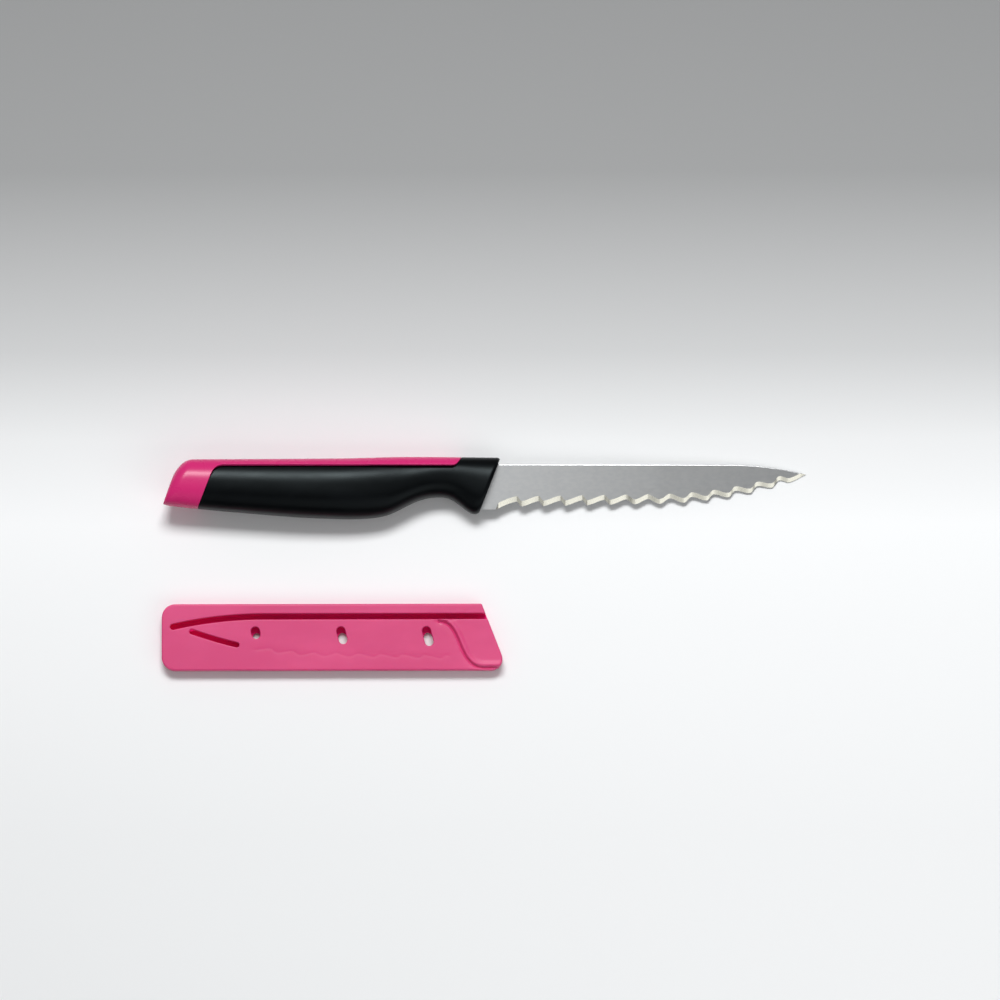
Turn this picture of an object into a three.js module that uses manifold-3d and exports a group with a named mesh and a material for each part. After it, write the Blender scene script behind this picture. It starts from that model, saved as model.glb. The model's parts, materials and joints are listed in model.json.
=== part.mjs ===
// Serrated utility knife with a two-colour moulded handle, and its blade's sheath laid beside it.
// Millimetres, +Z up. Both lie on the plane z = 0, with the origin on it below the middle of the pair.
//
// The knife is modelled in its own frame: x runs from the guard to the tip, y up to the blade's spine
// at y = 0, and z across the blade from its middle plane. A station is a place along the handle, 0 at
// the guard and negative towards the butt, on a plane that leans as the guard does.
import * as THREE from "three";
import { mergeVertices } from "three/addons/utils/BufferGeometryUtils.js";
import Module from "manifold-3d";

const wasm = await Module();
wasm.setup();

// Shared sizes
const SLANT = THREE.MathUtils.degToRad(21.2); // lean of the guard, the cap's seam and the sheath's mouth
const FIT = 0.3; // clearance between pieces that are moulded into each other

// Blade
const BLADE_LENGTH = 114.9; // guard to tip, along the spine
const HEEL_DEPTH = 17; // spine to the plain edge beside the guard
const EDGE_DEPTH = 15; // spine to the middle of the wave, at the guard
const WAIST_DEPTH = 13.7; // the same where the belly starts
const BELLY_START = 60; // distance from the guard where the edge starts to sweep up
const TIP_DEPTH = 3.5; // spine to the tip, where the edge and the spine meet
const SPINE_DROP = 28; // length of the spine's own sweep down to the tip
const SPINE_THICKNESS = 1.5;
const HEEL_THICKNESS = 0.8; // the faces taper to this at the heel's depth
const TIP_THICKNESS = 0.75; // from the belly's start the spine thins to this at the tip
const EDGE_LAND = 0.12; // thickness left along the cutting edge

// Serration: a wave along the edge, ground from the front face only
const WAVE_BEHIND = 0.4; // how far behind the guard's line at the spine the first rise starts
const FIRST_HOLLOW = 7; // guard to the first hollow's top
const WAVE_PITCH = 8.16;
const WAVE_HEIGHT = 1.9; // tooth point to hollow top
const FALL_SHARE_HEEL = 0.22; // share of a pitch that the fall from hollow to tooth takes, near the heel
const FALL_SHARE_TIP = 0.7; // the same near the tip
const FALL_TURN_START = 32; // the share changes between these distances from the guard
const FALL_TURN_END = 78;
const STRAIGHTNESS = 0.4; // 0 gives the wave round flanks, 1 straight ones
const LAST_RUN = 8; // least distance from the last hollow to the tip
const LAST_FALL = 4.2; // last hollow to the last tooth, behind which the edge runs up to the tip
const BEVEL_HEEL = 2; // height of the ground band above the edge, at the guard
const BEVEL_TIP = 1.5; // the same at the tip
const BEVEL_SHARE = 0.9; // most of the blade's depth that the band takes
const BEVEL_ANGLE = THREE.MathUtils.degToRad(24); // its steepest grind
const BEVEL_RUNOUT = 0.5; // length behind the wave in which the band runs out
const STEPS_PER_WAVE = 10;

// Tang, hidden in the handle
const TANG_LENGTH = 88;
const TANG_DEPTH = 6.2;
const TANG_BELOW_SPINE = 1;
const TANG_END_RADIUS = 2.5;
const TANG_HOLE_RADIUS = 2;
const TANG_HOLE_FROM_GUARD = 34;
const TANG_HOLE_FROM_END = 22;
const HEEL_SEAT = 8.6; // how far the blade's full depth reaches back past the guard line at the spine
const TANG_OVERLAP = 1; // how far the tang runs on into that full depth

// Handle outline
const HANDLE_LENGTH = 119.4; // guard to butt, along the stations
const BUTT_RISE = 1.5; // handle's back above the blade's spine, at the butt
const PALM_BACK_AT = 60; // distances behind the guard, and rises there
const PALM_BACK_RISE = 2;
const THUMB_BACK_AT = 36;
const THUMB_BACK_RISE = 2.62;
const GUARD_RISE = 2.45;
const BUTT_DEPTH = 15.6; // handle's underside below the blade's spine, at the butt
const REAR_AT = 92; // distances behind the guard, and depths there
const REAR_DEPTH = 18.07;
const BELLY_AT = 57.5;
const BELLY_DEPTH = 20.4;
const BELLY_FRONT_AT = 35.5;
const BELLY_FRONT_DEPTH = 19.7;
const CHOIL_REAR_AT = 24.4;
const CHOIL_REAR_DEPTH = 13.85;
const CHOIL_AT = 18.9; // top of the finger hollow
const CHOIL_DEPTH = 12.5;
const CHOIL_FRONT_AT = 12.7;
const CHOIL_FRONT_DEPTH = 13.15;
const GUARD_FLARE_AT = 3.1;
const GUARD_FLARE_DEPTH = 18.35;
const GUARD_DEPTH = 18.75;
const BUTT_HALF = 6.8; // half thicknesses
const PALM_AT = 55;
const PALM_HALF = 8.4;
const NECK_AT = 17;
const NECK_HALF = 6.2;
const GUARD_HALF = 6;
const SECTION_POWER = 2.4; // 2 is an ellipse, more is squarer
const BUTT_SLANT = THREE.MathUtils.degToRad(19.2); // the butt's own lean
const BUTT_ROUND = 4; // length of the butt's rounded end
const BUTT_TOP_DROP = 6.5; // how far that rounding takes down the back, the underside and each flank
const BUTT_HEEL_LIFT = 0.5;
const BUTT_SIDE_DRAW = 3.2;
const GUARD_ROUND = 1.5; // rounding of the guard's front rim, along the handle
const GUARD_DRAW = 0.8; // how far that rounding draws the rim in
const RING_SIDES = 40;
const STATION_STEP = 4;
const CORE_SIDES = 24; // the buried core is coarser
const CORE_STEP = 6;
const ROUND_STEPS = 4;

// Two mouldings of the handle
const GRIP_WALL = 2.2; // soft layer over the core
const GUARD_WALL = 3.6; // soft layer in front of the core
const BUTT_CAP = 14.1; // length of the core that shows at the butt
const STRIP_EDGE = 0.6; // lower edge of the core's strip along the back, below the blade's spine
const STRIP_FRONT = 15.6; // strip's end behind the guard, at its lower edge
const STRIP_END_LEAN = THREE.MathUtils.degToRad(35); // lean of that end
const STRIP_CORNER = 4.5; // curve from the strip's lower edge down to the butt cap
const STRIP_FRONT_CORNER = 1.2; // curve from that edge up its front end
const CORE_RISE = 1.4; // how far the buried core reaches up into the strip
const KEY_RADIUS = 2.2; // bridges of soft plastic through the core
const KEY_BELOW_TANG = 5;
const KEYS_AT = [40, 56, 72]; // distances behind the guard
const ROUND_SIDES = 20;

// Sheath, in its own frame: x from the closed end to the mouth, y from the edge side to the spine side
const BLADE_PLAY = 0.4; // room round the blade in the sheath
const TIP_ROOM = 6; // closed end to the blade's tip
const SPINE_WALL = 4.7; // spine side to the blade's spine
const EDGE_WALL = 3.1; // edge side to the blade's heel
const BACK_WALL = 1.5;
const FRONT_WALL = 1.8;
const CLOSED_CORNER = 5;
const MOUTH_CORNER = 4.2;
const MOUTH_TOP_CORNER = 0.8;
const RIM_ROUND = 0.6;
const SPINE_SLOT = 2.2; // width of the slot that follows the blade's spine
const SPINE_SLOT_PAST_TIP = 1.8;
const SPINE_SLOT_BEND = 34; // length of the slot's own sweep down, and its drop there
const SPINE_SLOT_DROP = 3.8;
const TIP_SLOT = 1.9; // width of the short slot below the tip's edge
const TIP_SLOT_START = 5.2; // distances back from the tip
const TIP_SLOT_END = 21.9;
const TIP_SLOT_BELOW = 0.65; // below the middle of the wave
const DRAIN_WIDTH = 3.2;
const DRAIN_TOP = 3.8; // drain slots' upper ends below the blade's spine
const DRAIN_LEAN = THREE.MathUtils.degToRad(14);
const DRAIN_LENGTHS = [4.5, 6.6, 7.4]; // from the closed end to the mouth
const DRAIN_TO_END = 34.8; // first drain from the closed end
const DRAIN_TO_MOUTH = 22.4; // last drain from the mouth
const DRAIN_LEDGE = 2.1; // the back shell's drains lie this much lower
const PAD_RISE = 0.9; // thumb pad above the front face
const PAD_START = 18; // pad's far end back from the mouth, along the spine slot
const PAD_BELOW_SLOT = 0.8; // that end below the slot's edge
const PAD_SWEEP = 17; // length in which its edge sweeps across the sheath
const PAD_FOOT = 0.9; // pad's edge above the sheath's edge side, beside the mouth
const PAD_TOP_PULL = 0.53; // shares of the sweep that the curve's two handles reach along it
const PAD_FOOT_PULL = 0.36;
const PAD_RIM = 2.6; // rim left standing along the pad's edge
const PAD_DISH = 0.4; // depth of the pad inside its rim
const SHEATH_GAP = 31.6; // knife's belly to the sheath's spine side, as they lie
const SHEATH_PAST_BUTT = 0.4; // sheath's closed end past the butt's lower end, as they lie

const MAGENTA = new THREE.MeshStandardMaterial({ color: 0xd42674, roughness: 0.16, metalness: 0 });
const BLACK = new THREE.MeshStandardMaterial({ color: 0x16181b, roughness: 0.55, metalness: 0 });
const STEEL = new THREE.MeshStandardMaterial({ color: 0xb4b6b4, roughness: 0.34, metalness: 1 });
const PINK = new THREE.MeshStandardMaterial({ color: 0xdd5286, roughness: 0.45, metalness: 0 });

const LEAN = Math.tan(SLANT);
const EDGE_SLOPE = Math.atan((EDGE_DEPTH - WAIST_DEPTH) / BELLY_START);
const BELLY_RADIUS = sweepRadius(BLADE_LENGTH - BELLY_START, WAIST_DEPTH - TIP_DEPTH, EDGE_SLOPE);
const WAVE_COUNT = Math.floor((BLADE_LENGTH - LAST_RUN - FIRST_HOLLOW) / WAVE_PITCH);
const LAST_HOLLOW = FIRST_HOLLOW + WAVE_PITCH * WAVE_COUNT;
const FAR = 200; // reach of cutters that run past the part

// Solids and geometry

function toSolid(geometry) {
  const bare = new THREE.BufferGeometry().setAttribute("position", geometry.getAttribute("position"));
  bare.setIndex(geometry.index);
  const merged = mergeVertices(bare);
  const vertProperties = merged.getAttribute("position").array;
  const triVerts = new Uint32Array(merged.index.array);
  return new wasm.Manifold(new wasm.Mesh({ numProp: 3, vertProperties, triVerts }));
}

function toMesh(name, solid, material) {
  const { vertProperties, triVerts } = solid.getMesh();
  const geometry = new THREE.BufferGeometry();
  geometry.setAttribute("position", new THREE.BufferAttribute(vertProperties, 3));
  geometry.setIndex(new THREE.BufferAttribute(triVerts, 1));
  geometry.computeVertexNormals();
  const mesh = new THREE.Mesh(geometry, material);
  mesh.name = name;
  return mesh;
}

// Closed solid through rings of equal point counts, each counterclockwise about the way they run, with
// both ends closed by a fan from the ring's middle.
function loft(rings) {
  const sides = rings[0].length;
  const middle = (ring) => ring.reduce((sum, p) => sum.add(p), new THREE.Vector3()).divideScalar(sides);
  const points = [...rings.flat(), middle(rings[0]), middle(rings[rings.length - 1])];
  const first = points.length - 2;
  const last = points.length - 1;
  const index = [];
  for (let side = 0; side < sides; side++) {
    const next = (side + 1) % sides;
    for (let ring = 0; ring < rings.length - 1; ring++) {
      const near = ring * sides;
      const far = near + sides;
      index.push(near + side, near + next, far + next, near + side, far + next, far + side);
    }
    const end = (rings.length - 1) * sides;
    index.push(first, next, side, last, end + side, end + next);
  }
  return toSolid(new THREE.BufferGeometry().setFromPoints(points).setIndex(index));
}

// Flat outline raised along +Z from one height to another.
function prism(shape, low, high, curveSegments = ROUND_SIDES / 4) {
  const options = { depth: high - low, bevelEnabled: false, curveSegments };
  return toSolid(new THREE.ExtrudeGeometry(shape, options).translate(0, 0, low));
}

function disc(x, y, radius) {
  return new THREE.Shape().absarc(x, y, radius, 0, 2 * Math.PI, false);
}

// Outline through [x, y, radius] corners taken counterclockwise, each corner rounded by an arc.
function roundedOutline(corners) {
  const shape = new THREE.Shape();
  corners.forEach(([x, y, radius], i) => {
    const here = new THREE.Vector2(x, y);
    const [bx, by] = corners.at(i - 1);
    const [ax, ay] = corners[(i + 1) % corners.length];
    const back = new THREE.Vector2(bx, by).sub(here).normalize();
    const ahead = new THREE.Vector2(ax, ay).sub(here).normalize();
    const half = Math.acos(back.dot(ahead)) / 2;
    const toCentre = back.clone().add(ahead).normalize();
    const centre = here.clone().addScaledVector(toCentre, radius / Math.sin(half));
    const start = back.multiplyScalar(radius / Math.tan(half)).add(here).sub(centre).angle();
    const end = ahead.multiplyScalar(radius / Math.tan(half)).add(here).sub(centre).angle();
    shape.absarc(centre.x, centre.y, radius, start, end, false);
  });
  return shape;
}

// Outline of a slot of even width along a line of points, with round ends.
function slotOutline(line, width) {
  const half = width / 2;
  const heading = (i) => {
    const from = line[Math.max(i - 1, 0)];
    const to = line[Math.min(i + 1, line.length - 1)];
    return Math.atan2(to.y - from.y, to.x - from.x);
  };
  const round = ({ x, y }, start) =>
    new THREE.EllipseCurve(x, y, half, half, start, start + Math.PI).getPoints(ROUND_SIDES / 2);
  const beside = (turn) =>
    line.slice(1, -1).map((p, i) => {
      const angle = heading(i + 1) + turn;
      return new THREE.Vector2(p.x + half * Math.cos(angle), p.y + half * Math.sin(angle));
    });
  const right = -Math.PI / 2;
  const end = line.length - 1;
  return new THREE.Shape([
    ...round(line[0], heading(0) - right),
    ...beside(right),
    ...round(line[end], heading(end) + right),
    ...beside(-right).reverse(),
  ]);
}

function evenly(from, to, step) {
  const count = Math.max(1, Math.ceil(Math.abs(to - from) / step));
  return Array.from({ length: count + 1 }, (_, i) => THREE.MathUtils.lerp(from, to, i / count));
}

// Smooth function through [position, value] pairs in rising order of position.
function curveThrough(pairs) {
  const slopes = pairs.map((_, i) => {
    const [x0, y0] = pairs[Math.max(i - 1, 0)];
    const [x1, y1] = pairs[Math.min(i + 1, pairs.length - 1)];
    return (y1 - y0) / (x1 - x0);
  });
  return (x) => {
    const found = pairs.findIndex(([position]) => position > x);
    const i = THREE.MathUtils.clamp(found, 1, pairs.length - 1);
    const [x0, y0] = pairs[found < 0 ? pairs.length - 2 : i - 1];
    const [x1, y1] = pairs[found < 0 ? pairs.length - 1 : i];
    const at = found < 0 ? pairs.length - 1 : i;
    const span = x1 - x0;
    const t = THREE.MathUtils.clamp((x - x0) / span, 0, 1);
    const rise = slopes[at - 1] * span * t * (1 - t) ** 2 - slopes[at] * span * t * t * (1 - t);
    return y0 + (y1 - y0) * t * t * (3 - 2 * t) + rise;
  };
}

// Blade

// Radius of the arc that leaves a point at a slope and ends at a run and a rise from it.
function sweepRadius(run, rise, slope) {
  const ahead = run * Math.cos(slope) + rise * Math.sin(slope);
  const aside = rise * Math.cos(slope) - run * Math.sin(slope);
  return (ahead ** 2 + aside ** 2) / (2 * aside);
}

// Middle of the wave along the edge: straight from the guard, then an arc that sweeps up to the tip.
function edgeLine(x) {
  if (x <= BELLY_START) return -EDGE_DEPTH + x * Math.tan(EDGE_SLOPE);
  const along = x - BELLY_START + BELLY_RADIUS * Math.sin(EDGE_SLOPE);
  const centre = BELLY_RADIUS * Math.cos(EDGE_SLOPE) - WAIST_DEPTH;
  return centre - Math.sqrt(BELLY_RADIUS ** 2 - along ** 2);
}

// Height of a level line that ends in an arc, with the arc's length and drop.
function sweptDown(x, end, length, drop) {
  const past = Math.max(0, x - (end - length));
  const radius = sweepRadius(length, drop, 0);
  return Math.sqrt(radius ** 2 - past ** 2) - radius;
}

// Spine: straight, then an arc that drops to the tip.
function spineLine(x) {
  return sweptDown(x, BLADE_LENGTH, SPINE_DROP, TIP_DEPTH);
}

// From 1 to -1 along a flank of the wave.
function flankDown(share) {
  return THREE.MathUtils.lerp(Math.cos(Math.PI * share), 1 - 2 * share, STRAIGHTNESS);
}

// Wave from 1 at a hollow's top to -1 at a tooth, leaning more towards the tip as it goes along the blade.
// Behind the last tooth it runs out to 0 at the tip.
function wave(x) {
  const past = x - LAST_HOLLOW;
  if (past > LAST_FALL) {
    const share = (past - LAST_FALL) / (BLADE_LENGTH - LAST_HOLLOW - LAST_FALL);
    return -Math.cos((Math.PI / 2) * share);
  }
  if (past > 0) return flankDown(past / LAST_FALL);
  const turns = (x - FIRST_HOLLOW) / WAVE_PITCH;
  const part = turns - Math.floor(turns);
  const turned = THREE.MathUtils.smoothstep(x, FALL_TURN_START, FALL_TURN_END);
  const fall = THREE.MathUtils.lerp(FALL_SHARE_HEEL, FALL_SHARE_TIP, turned);
  return part < fall ? flankDown(part / fall) : -flankDown((part - fall) / (1 - fall));
}

// The cutting edge: plain at the heel, one long rise to the first hollow, then the wave.
function cuttingEdge(x) {
  const half = WAVE_HEIGHT / 2;
  if (x < FIRST_HOLLOW) {
    const share = Math.max(0, (x + WAVE_BEHIND) / (FIRST_HOLLOW + WAVE_BEHIND));
    const rise = THREE.MathUtils.lerp(Math.sin((Math.PI / 2) * share), share, STRAIGHTNESS);
    return THREE.MathUtils.lerp(-HEEL_DEPTH, edgeLine(FIRST_HOLLOW) + half, rise);
  }
  return edgeLine(x) + half * wave(x);
}

// Half the blade's thickness, less with the depth below the spine and from the belly's start to the tip.
function halfThickness(x, y) {
  const thinned = THREE.MathUtils.clamp((x - BELLY_START) / (BLADE_LENGTH - BELLY_START), 0, 1);
  const share = THREE.MathUtils.lerp(1, TIP_THICKNESS / SPINE_THICKNESS, thinned);
  return (share * (SPINE_THICKNESS + ((SPINE_THICKNESS - HEEL_THICKNESS) * y) / HEEL_DEPTH)) / 2;
}

// Height of the ground band at a place; behind the wave only the edge's own land is left of it.
function bevelHeight(x, depth) {
  if (x < -WAVE_BEHIND) return EDGE_LAND;
  const height = THREE.MathUtils.lerp(BEVEL_HEEL, BEVEL_TIP, x / BLADE_LENGTH);
  return Math.min(height, BEVEL_SHARE * depth);
}

// Section across the blade: down its front face and the ground band to the edge, and back up to the spine.
function bladeRing(x) {
  const edge = cuttingEdge(x);
  const spine = Math.max(spineLine(x), edge + EDGE_LAND);
  const band = bevelHeight(x, spine - edge);
  const back = -halfThickness(x, edge);
  const face = halfThickness(x, edge + band);
  const ground = Math.min(face - back - EDGE_LAND, band * Math.tan(BEVEL_ANGLE));
  const front = x < -WAVE_BEHIND ? halfThickness(x, edge) : face - ground;
  return [
    new THREE.Vector3(x, spine, halfThickness(x, spine)),
    new THREE.Vector3(x, edge + band, face),
    new THREE.Vector3(x, edge, front),
    new THREE.Vector3(x, edge, back),
    new THREE.Vector3(x, spine, -halfThickness(x, spine)),
  ];
}

function tangOutline(grow) {
  const top = grow - TANG_BELOW_SPINE;
  const bottom = -TANG_BELOW_SPINE - TANG_DEPTH - grow;
  const end = -TANG_LENGTH - grow;
  const front = TANG_OVERLAP - HEEL_SEAT;
  return roundedOutline([
    [end, bottom, TANG_END_RADIUS],
    [front, bottom, FIT],
    [front, top, FIT],
    [end, top, TANG_END_RADIUS],
  ]);
}

function tangHoles(radius) {
  const middle = -TANG_BELOW_SPINE - TANG_DEPTH / 2;
  const places = [-TANG_HOLE_FROM_GUARD, TANG_HOLE_FROM_END - TANG_LENGTH];
  return places.map((x) => prism(disc(x, middle, radius), -FAR, FAR));
}

function makeBlade() {
  const half = SPINE_THICKNESS / 2;
  const wavy = evenly(-WAVE_BEHIND, BLADE_LENGTH, WAVE_PITCH / STEPS_PER_WAVE);
  const body = loft([-HEEL_SEAT, -WAVE_BEHIND - BEVEL_RUNOUT, ...wavy].map(bladeRing));
  const tang = [prism(tangOutline(0), -half, half), ...tangHoles(TANG_HOLE_RADIUS)];
  return body.add(wasm.Manifold.difference(tang));
}

// Room for the blade's heel and tang inside the handle, with pillars left standing in the tang's holes.
function bladePocket() {
  const ring = (x) => {
    const spine = SPINE_THICKNESS / 2 + FIT;
    const heel = HEEL_THICKNESS / 2 + FIT;
    return [
      new THREE.Vector3(x, FIT, spine),
      new THREE.Vector3(x, -HEEL_DEPTH - FIT, heel),
      new THREE.Vector3(x, -HEEL_DEPTH - FIT, -heel),
      new THREE.Vector3(x, FIT, -spine),
    ];
  };
  const half = SPINE_THICKNESS / 2 + FIT;
  const tang = [prism(tangOutline(FIT), -half, half), ...tangHoles(TANG_HOLE_RADIUS - FIT)];
  return loft([ring(-HEEL_SEAT - FIT), ring(FAR)]).add(wasm.Manifold.difference(tang));
}

// Handle

const backLine = curveThrough([
  [-HANDLE_LENGTH, BUTT_RISE],
  [-PALM_BACK_AT, PALM_BACK_RISE],
  [-THUMB_BACK_AT, THUMB_BACK_RISE],
  [0, GUARD_RISE],
]);
const underside = curveThrough([
  [-HANDLE_LENGTH, -BUTT_DEPTH],
  [-REAR_AT, -REAR_DEPTH],
  [-BELLY_AT, -BELLY_DEPTH],
  [-BELLY_FRONT_AT, -BELLY_FRONT_DEPTH],
  [-CHOIL_REAR_AT, -CHOIL_REAR_DEPTH],
  [-CHOIL_AT, -CHOIL_DEPTH],
  [-CHOIL_FRONT_AT, -CHOIL_FRONT_DEPTH],
  [-GUARD_FLARE_AT, -GUARD_FLARE_DEPTH],
  [0, -GUARD_DEPTH],
]);
const flank = curveThrough([
  [-HANDLE_LENGTH, BUTT_HALF],
  [-PALM_AT, PALM_HALF],
  [-NECK_AT, NECK_HALF],
  [0, GUARD_HALF],
]);

// How far a quarter-round end has turned in at a place, from 0 where it starts to 1 at the end.
function endTurn(toEnd, length) {
  const share = THREE.MathUtils.clamp(1 - toEnd / length, 0, 1);
  return 1 - Math.sqrt(1 - share ** 2);
}

// Top, bottom and half thickness of the handle's outside at a station.
function handleSection(station) {
  const butt = endTurn(station + HANDLE_LENGTH, BUTT_ROUND);
  const guard = GUARD_DRAW * endTurn(-station, GUARD_ROUND);
  return {
    top: backLine(station) - butt * BUTT_TOP_DROP - guard,
    bottom: underside(station) + butt * BUTT_HEEL_LIFT + guard,
    half: flank(station) - butt * BUTT_SIDE_DRAW - guard,
  };
}

// Section of the core where the soft layer covers it.
function coreSection(station, wall) {
  return {
    top: CORE_RISE - STRIP_EDGE + GRIP_WALL - wall,
    bottom: underside(station) + wall,
    half: flank(station) - wall,
  };
}

// Lean of a station's plane: the guard's, and the butt's own at the end of its cap.
function leanAt(station) {
  const share = THREE.MathUtils.smoothstep(station, -HANDLE_LENGTH, BUTT_CAP - HANDLE_LENGTH);
  return THREE.MathUtils.lerp(Math.tan(BUTT_SLANT), LEAN, share);
}

function sectionRing(station, { top, bottom, half }, sides) {
  const middle = (top + bottom) / 2;
  const depth = (top - bottom) / 2;
  const squared = (v) => Math.sign(v) * Math.abs(v) ** (2 / SECTION_POWER);
  return Array.from({ length: sides }, (_, i) => {
    const angle = (2 * Math.PI * i) / sides;
    const y = middle + depth * squared(Math.cos(angle));
    return new THREE.Vector3(station + leanAt(station) * y, y, half * squared(Math.sin(angle)));
  });
}

// Places along a rounded end, close together where it turns fastest.
function roundStations(end, length) {
  const steps = Array.from({ length: ROUND_STEPS }, (_, i) => Math.cos((Math.PI / 2) * (i / ROUND_STEPS)));
  return steps.map((step) => end + length * (1 - step));
}

function makeOutside() {
  const butt = roundStations(-HANDLE_LENGTH, BUTT_ROUND);
  const guard = roundStations(0, -GUARD_ROUND).reverse();
  const between = evenly(BUTT_ROUND - HANDLE_LENGTH, -GUARD_ROUND, STATION_STEP);
  return loft([...butt, ...between, ...guard].map((s) => sectionRing(s, handleSection(s), RING_SIDES)));
}

function makeBuriedCore(wall, front) {
  const stations = evenly(BUTT_CAP / 2 - HANDLE_LENGTH, -front, CORE_STEP);
  return loft(stations.map((s) => sectionRing(s, coreSection(s, wall), CORE_SIDES)));
}

// Outline of what shows of the core: the butt cap, and the strip along the back.
function shownCoreOutline(grow) {
  const butt = BUTT_CAP - HANDLE_LENGTH + grow;
  const edge = -STRIP_EDGE - grow;
  const front = LEAN * edge - STRIP_FRONT + grow;
  const lean = Math.tan(STRIP_END_LEAN);
  const shape = new THREE.Shape();
  shape.moveTo(-FAR, -FAR);
  shape.lineTo(butt - LEAN * FAR, -FAR);
  shape.lineTo(butt + LEAN * (edge - STRIP_CORNER), edge - STRIP_CORNER);
  shape.quadraticCurveTo(butt + LEAN * edge, edge, butt + LEAN * edge + STRIP_CORNER, edge);
  shape.lineTo(front - STRIP_FRONT_CORNER, edge);
  shape.quadraticCurveTo(front, edge, front + lean * STRIP_FRONT_CORNER, edge + STRIP_FRONT_CORNER);
  shape.lineTo(front + lean * FAR, edge + FAR);
  shape.lineTo(-FAR, edge + FAR);
  return shape;
}

function keys(radius) {
  const y = -TANG_BELOW_SPINE - TANG_DEPTH - KEY_BELOW_TANG;
  return KEYS_AT.map((behind) => prism(disc(LEAN * y - behind, y, radius), -FAR, FAR));
}

function makeCore() {
  const shown = makeOutside().intersect(prism(shownCoreOutline(0), -FAR, FAR));
  const whole = shown.add(makeBuriedCore(GRIP_WALL, GUARD_WALL));
  return wasm.Manifold.difference([whole, bladePocket(), ...keys(KEY_RADIUS)]);
}

function makeGrip() {
  const shown = prism(shownCoreOutline(FIT), -FAR, FAR);
  const core = shown.add(makeBuriedCore(GRIP_WALL - FIT, GUARD_WALL - FIT));
  const room = wasm.Manifold.difference([core, ...keys(KEY_RADIUS - FIT)]);
  return wasm.Manifold.difference([makeOutside(), room, bladePocket()]);
}

// Sheath

const CAVITY_HEIGHT = SPINE_THICKNESS + 2 * BLADE_PLAY;
const SEAM = BACK_WALL + CAVITY_HEIGHT; // the two shells meet here
const SHEATH_HEIGHT = SEAM + FRONT_WALL;
const SHEATH_WIDTH = EDGE_WALL + HEEL_DEPTH + SPINE_WALL;
const SPINE_AT = SHEATH_WIDTH - SPINE_WALL; // the sheathed blade's spine
const MOUTH_AT = TIP_ROOM + BLADE_LENGTH; // the mouth, level with that spine

// The sheathed blade points to the closed end, with its front face down.
function sheathed(x, y) {
  return new THREE.Vector2(MOUTH_AT - x, SPINE_AT + y);
}

function mouth(y) {
  return MOUTH_AT + LEAN * (SPINE_AT - y);
}

function sheathOutline() {
  return roundedOutline([
    [0, 0, CLOSED_CORNER],
    [mouth(0), 0, MOUTH_CORNER],
    [mouth(SHEATH_WIDTH), SHEATH_WIDTH, MOUTH_TOP_CORNER],
    [0, SHEATH_WIDTH, CLOSED_CORNER],
  ]);
}

// The sheath's outside up to a height, with rounded rims.
function sheathBlock(height) {
  const geometry = new THREE.ExtrudeGeometry(sheathOutline(), {
    depth: height - 2 * RIM_ROUND,
    bevelThickness: RIM_ROUND,
    bevelSize: RIM_ROUND,
    bevelOffset: -RIM_ROUND,
    bevelSegments: 2,
    curveSegments: ROUND_SIDES / 4,
  });
  return toSolid(geometry.translate(0, 0, RIM_ROUND));
}

// Half of space above or below a height, as a slab over the sheath.
function slab(low, high) {
  const corners = [[-FAR, -FAR], [FAR, -FAR], [FAR, FAR], [-FAR, FAR]];
  return prism(new THREE.Shape(corners.map(([x, y]) => new THREE.Vector2(x, y))), low, high);
}

function cavityOutline() {
  const out = evenly(-2 * HEEL_DEPTH, BLADE_LENGTH, STATION_STEP);
  const spine = out.map((x) => sheathed(x, spineLine(x) + BLADE_PLAY));
  const tip = sheathed(BLADE_LENGTH + BLADE_PLAY, -TIP_DEPTH);
  const depth = (x) => Math.min(edgeLine(x) - WAVE_HEIGHT / 2, x < FIRST_HOLLOW ? -HEEL_DEPTH : 0);
  const edge = out.map((x) => sheathed(x, depth(x) - BLADE_PLAY));
  return new THREE.Shape([...spine, tip, ...edge.reverse()]);
}

function spineSlot() {
  const end = BLADE_LENGTH + SPINE_SLOT_PAST_TIP;
  const height = (x) => sweptDown(x, end, SPINE_SLOT_BEND, SPINE_SLOT_DROP);
  const line = evenly(-HEEL_DEPTH, end, STATION_STEP);
  return slotOutline(line.map((x) => sheathed(x, height(x))), SPINE_SLOT);
}

function tipSlot() {
  const line = evenly(BLADE_LENGTH - TIP_SLOT_END, BLADE_LENGTH - TIP_SLOT_START, STATION_STEP);
  return slotOutline(line.map((x) => sheathed(x, edgeLine(x) - TIP_SLOT_BELOW)), TIP_SLOT);
}

// Water runs out through these, in both shells.
function drains(lower) {
  const gap = (MOUTH_AT - DRAIN_TO_MOUTH - DRAIN_TO_END) / (DRAIN_LENGTHS.length - 1);
  return DRAIN_LENGTHS.map((length, i) => {
    const down = new THREE.Vector2(Math.sin(DRAIN_LEAN), -Math.cos(DRAIN_LEAN));
    const top = new THREE.Vector2(DRAIN_TO_END + i * gap, SPINE_AT - DRAIN_TOP - DRAIN_WIDTH / 2);
    top.addScaledVector(down, lower);
    const bottom = top.clone().addScaledVector(down, length - DRAIN_WIDTH);
    return prism(slotOutline([top, bottom], DRAIN_WIDTH), -FAR, FAR);
  });
}

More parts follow.
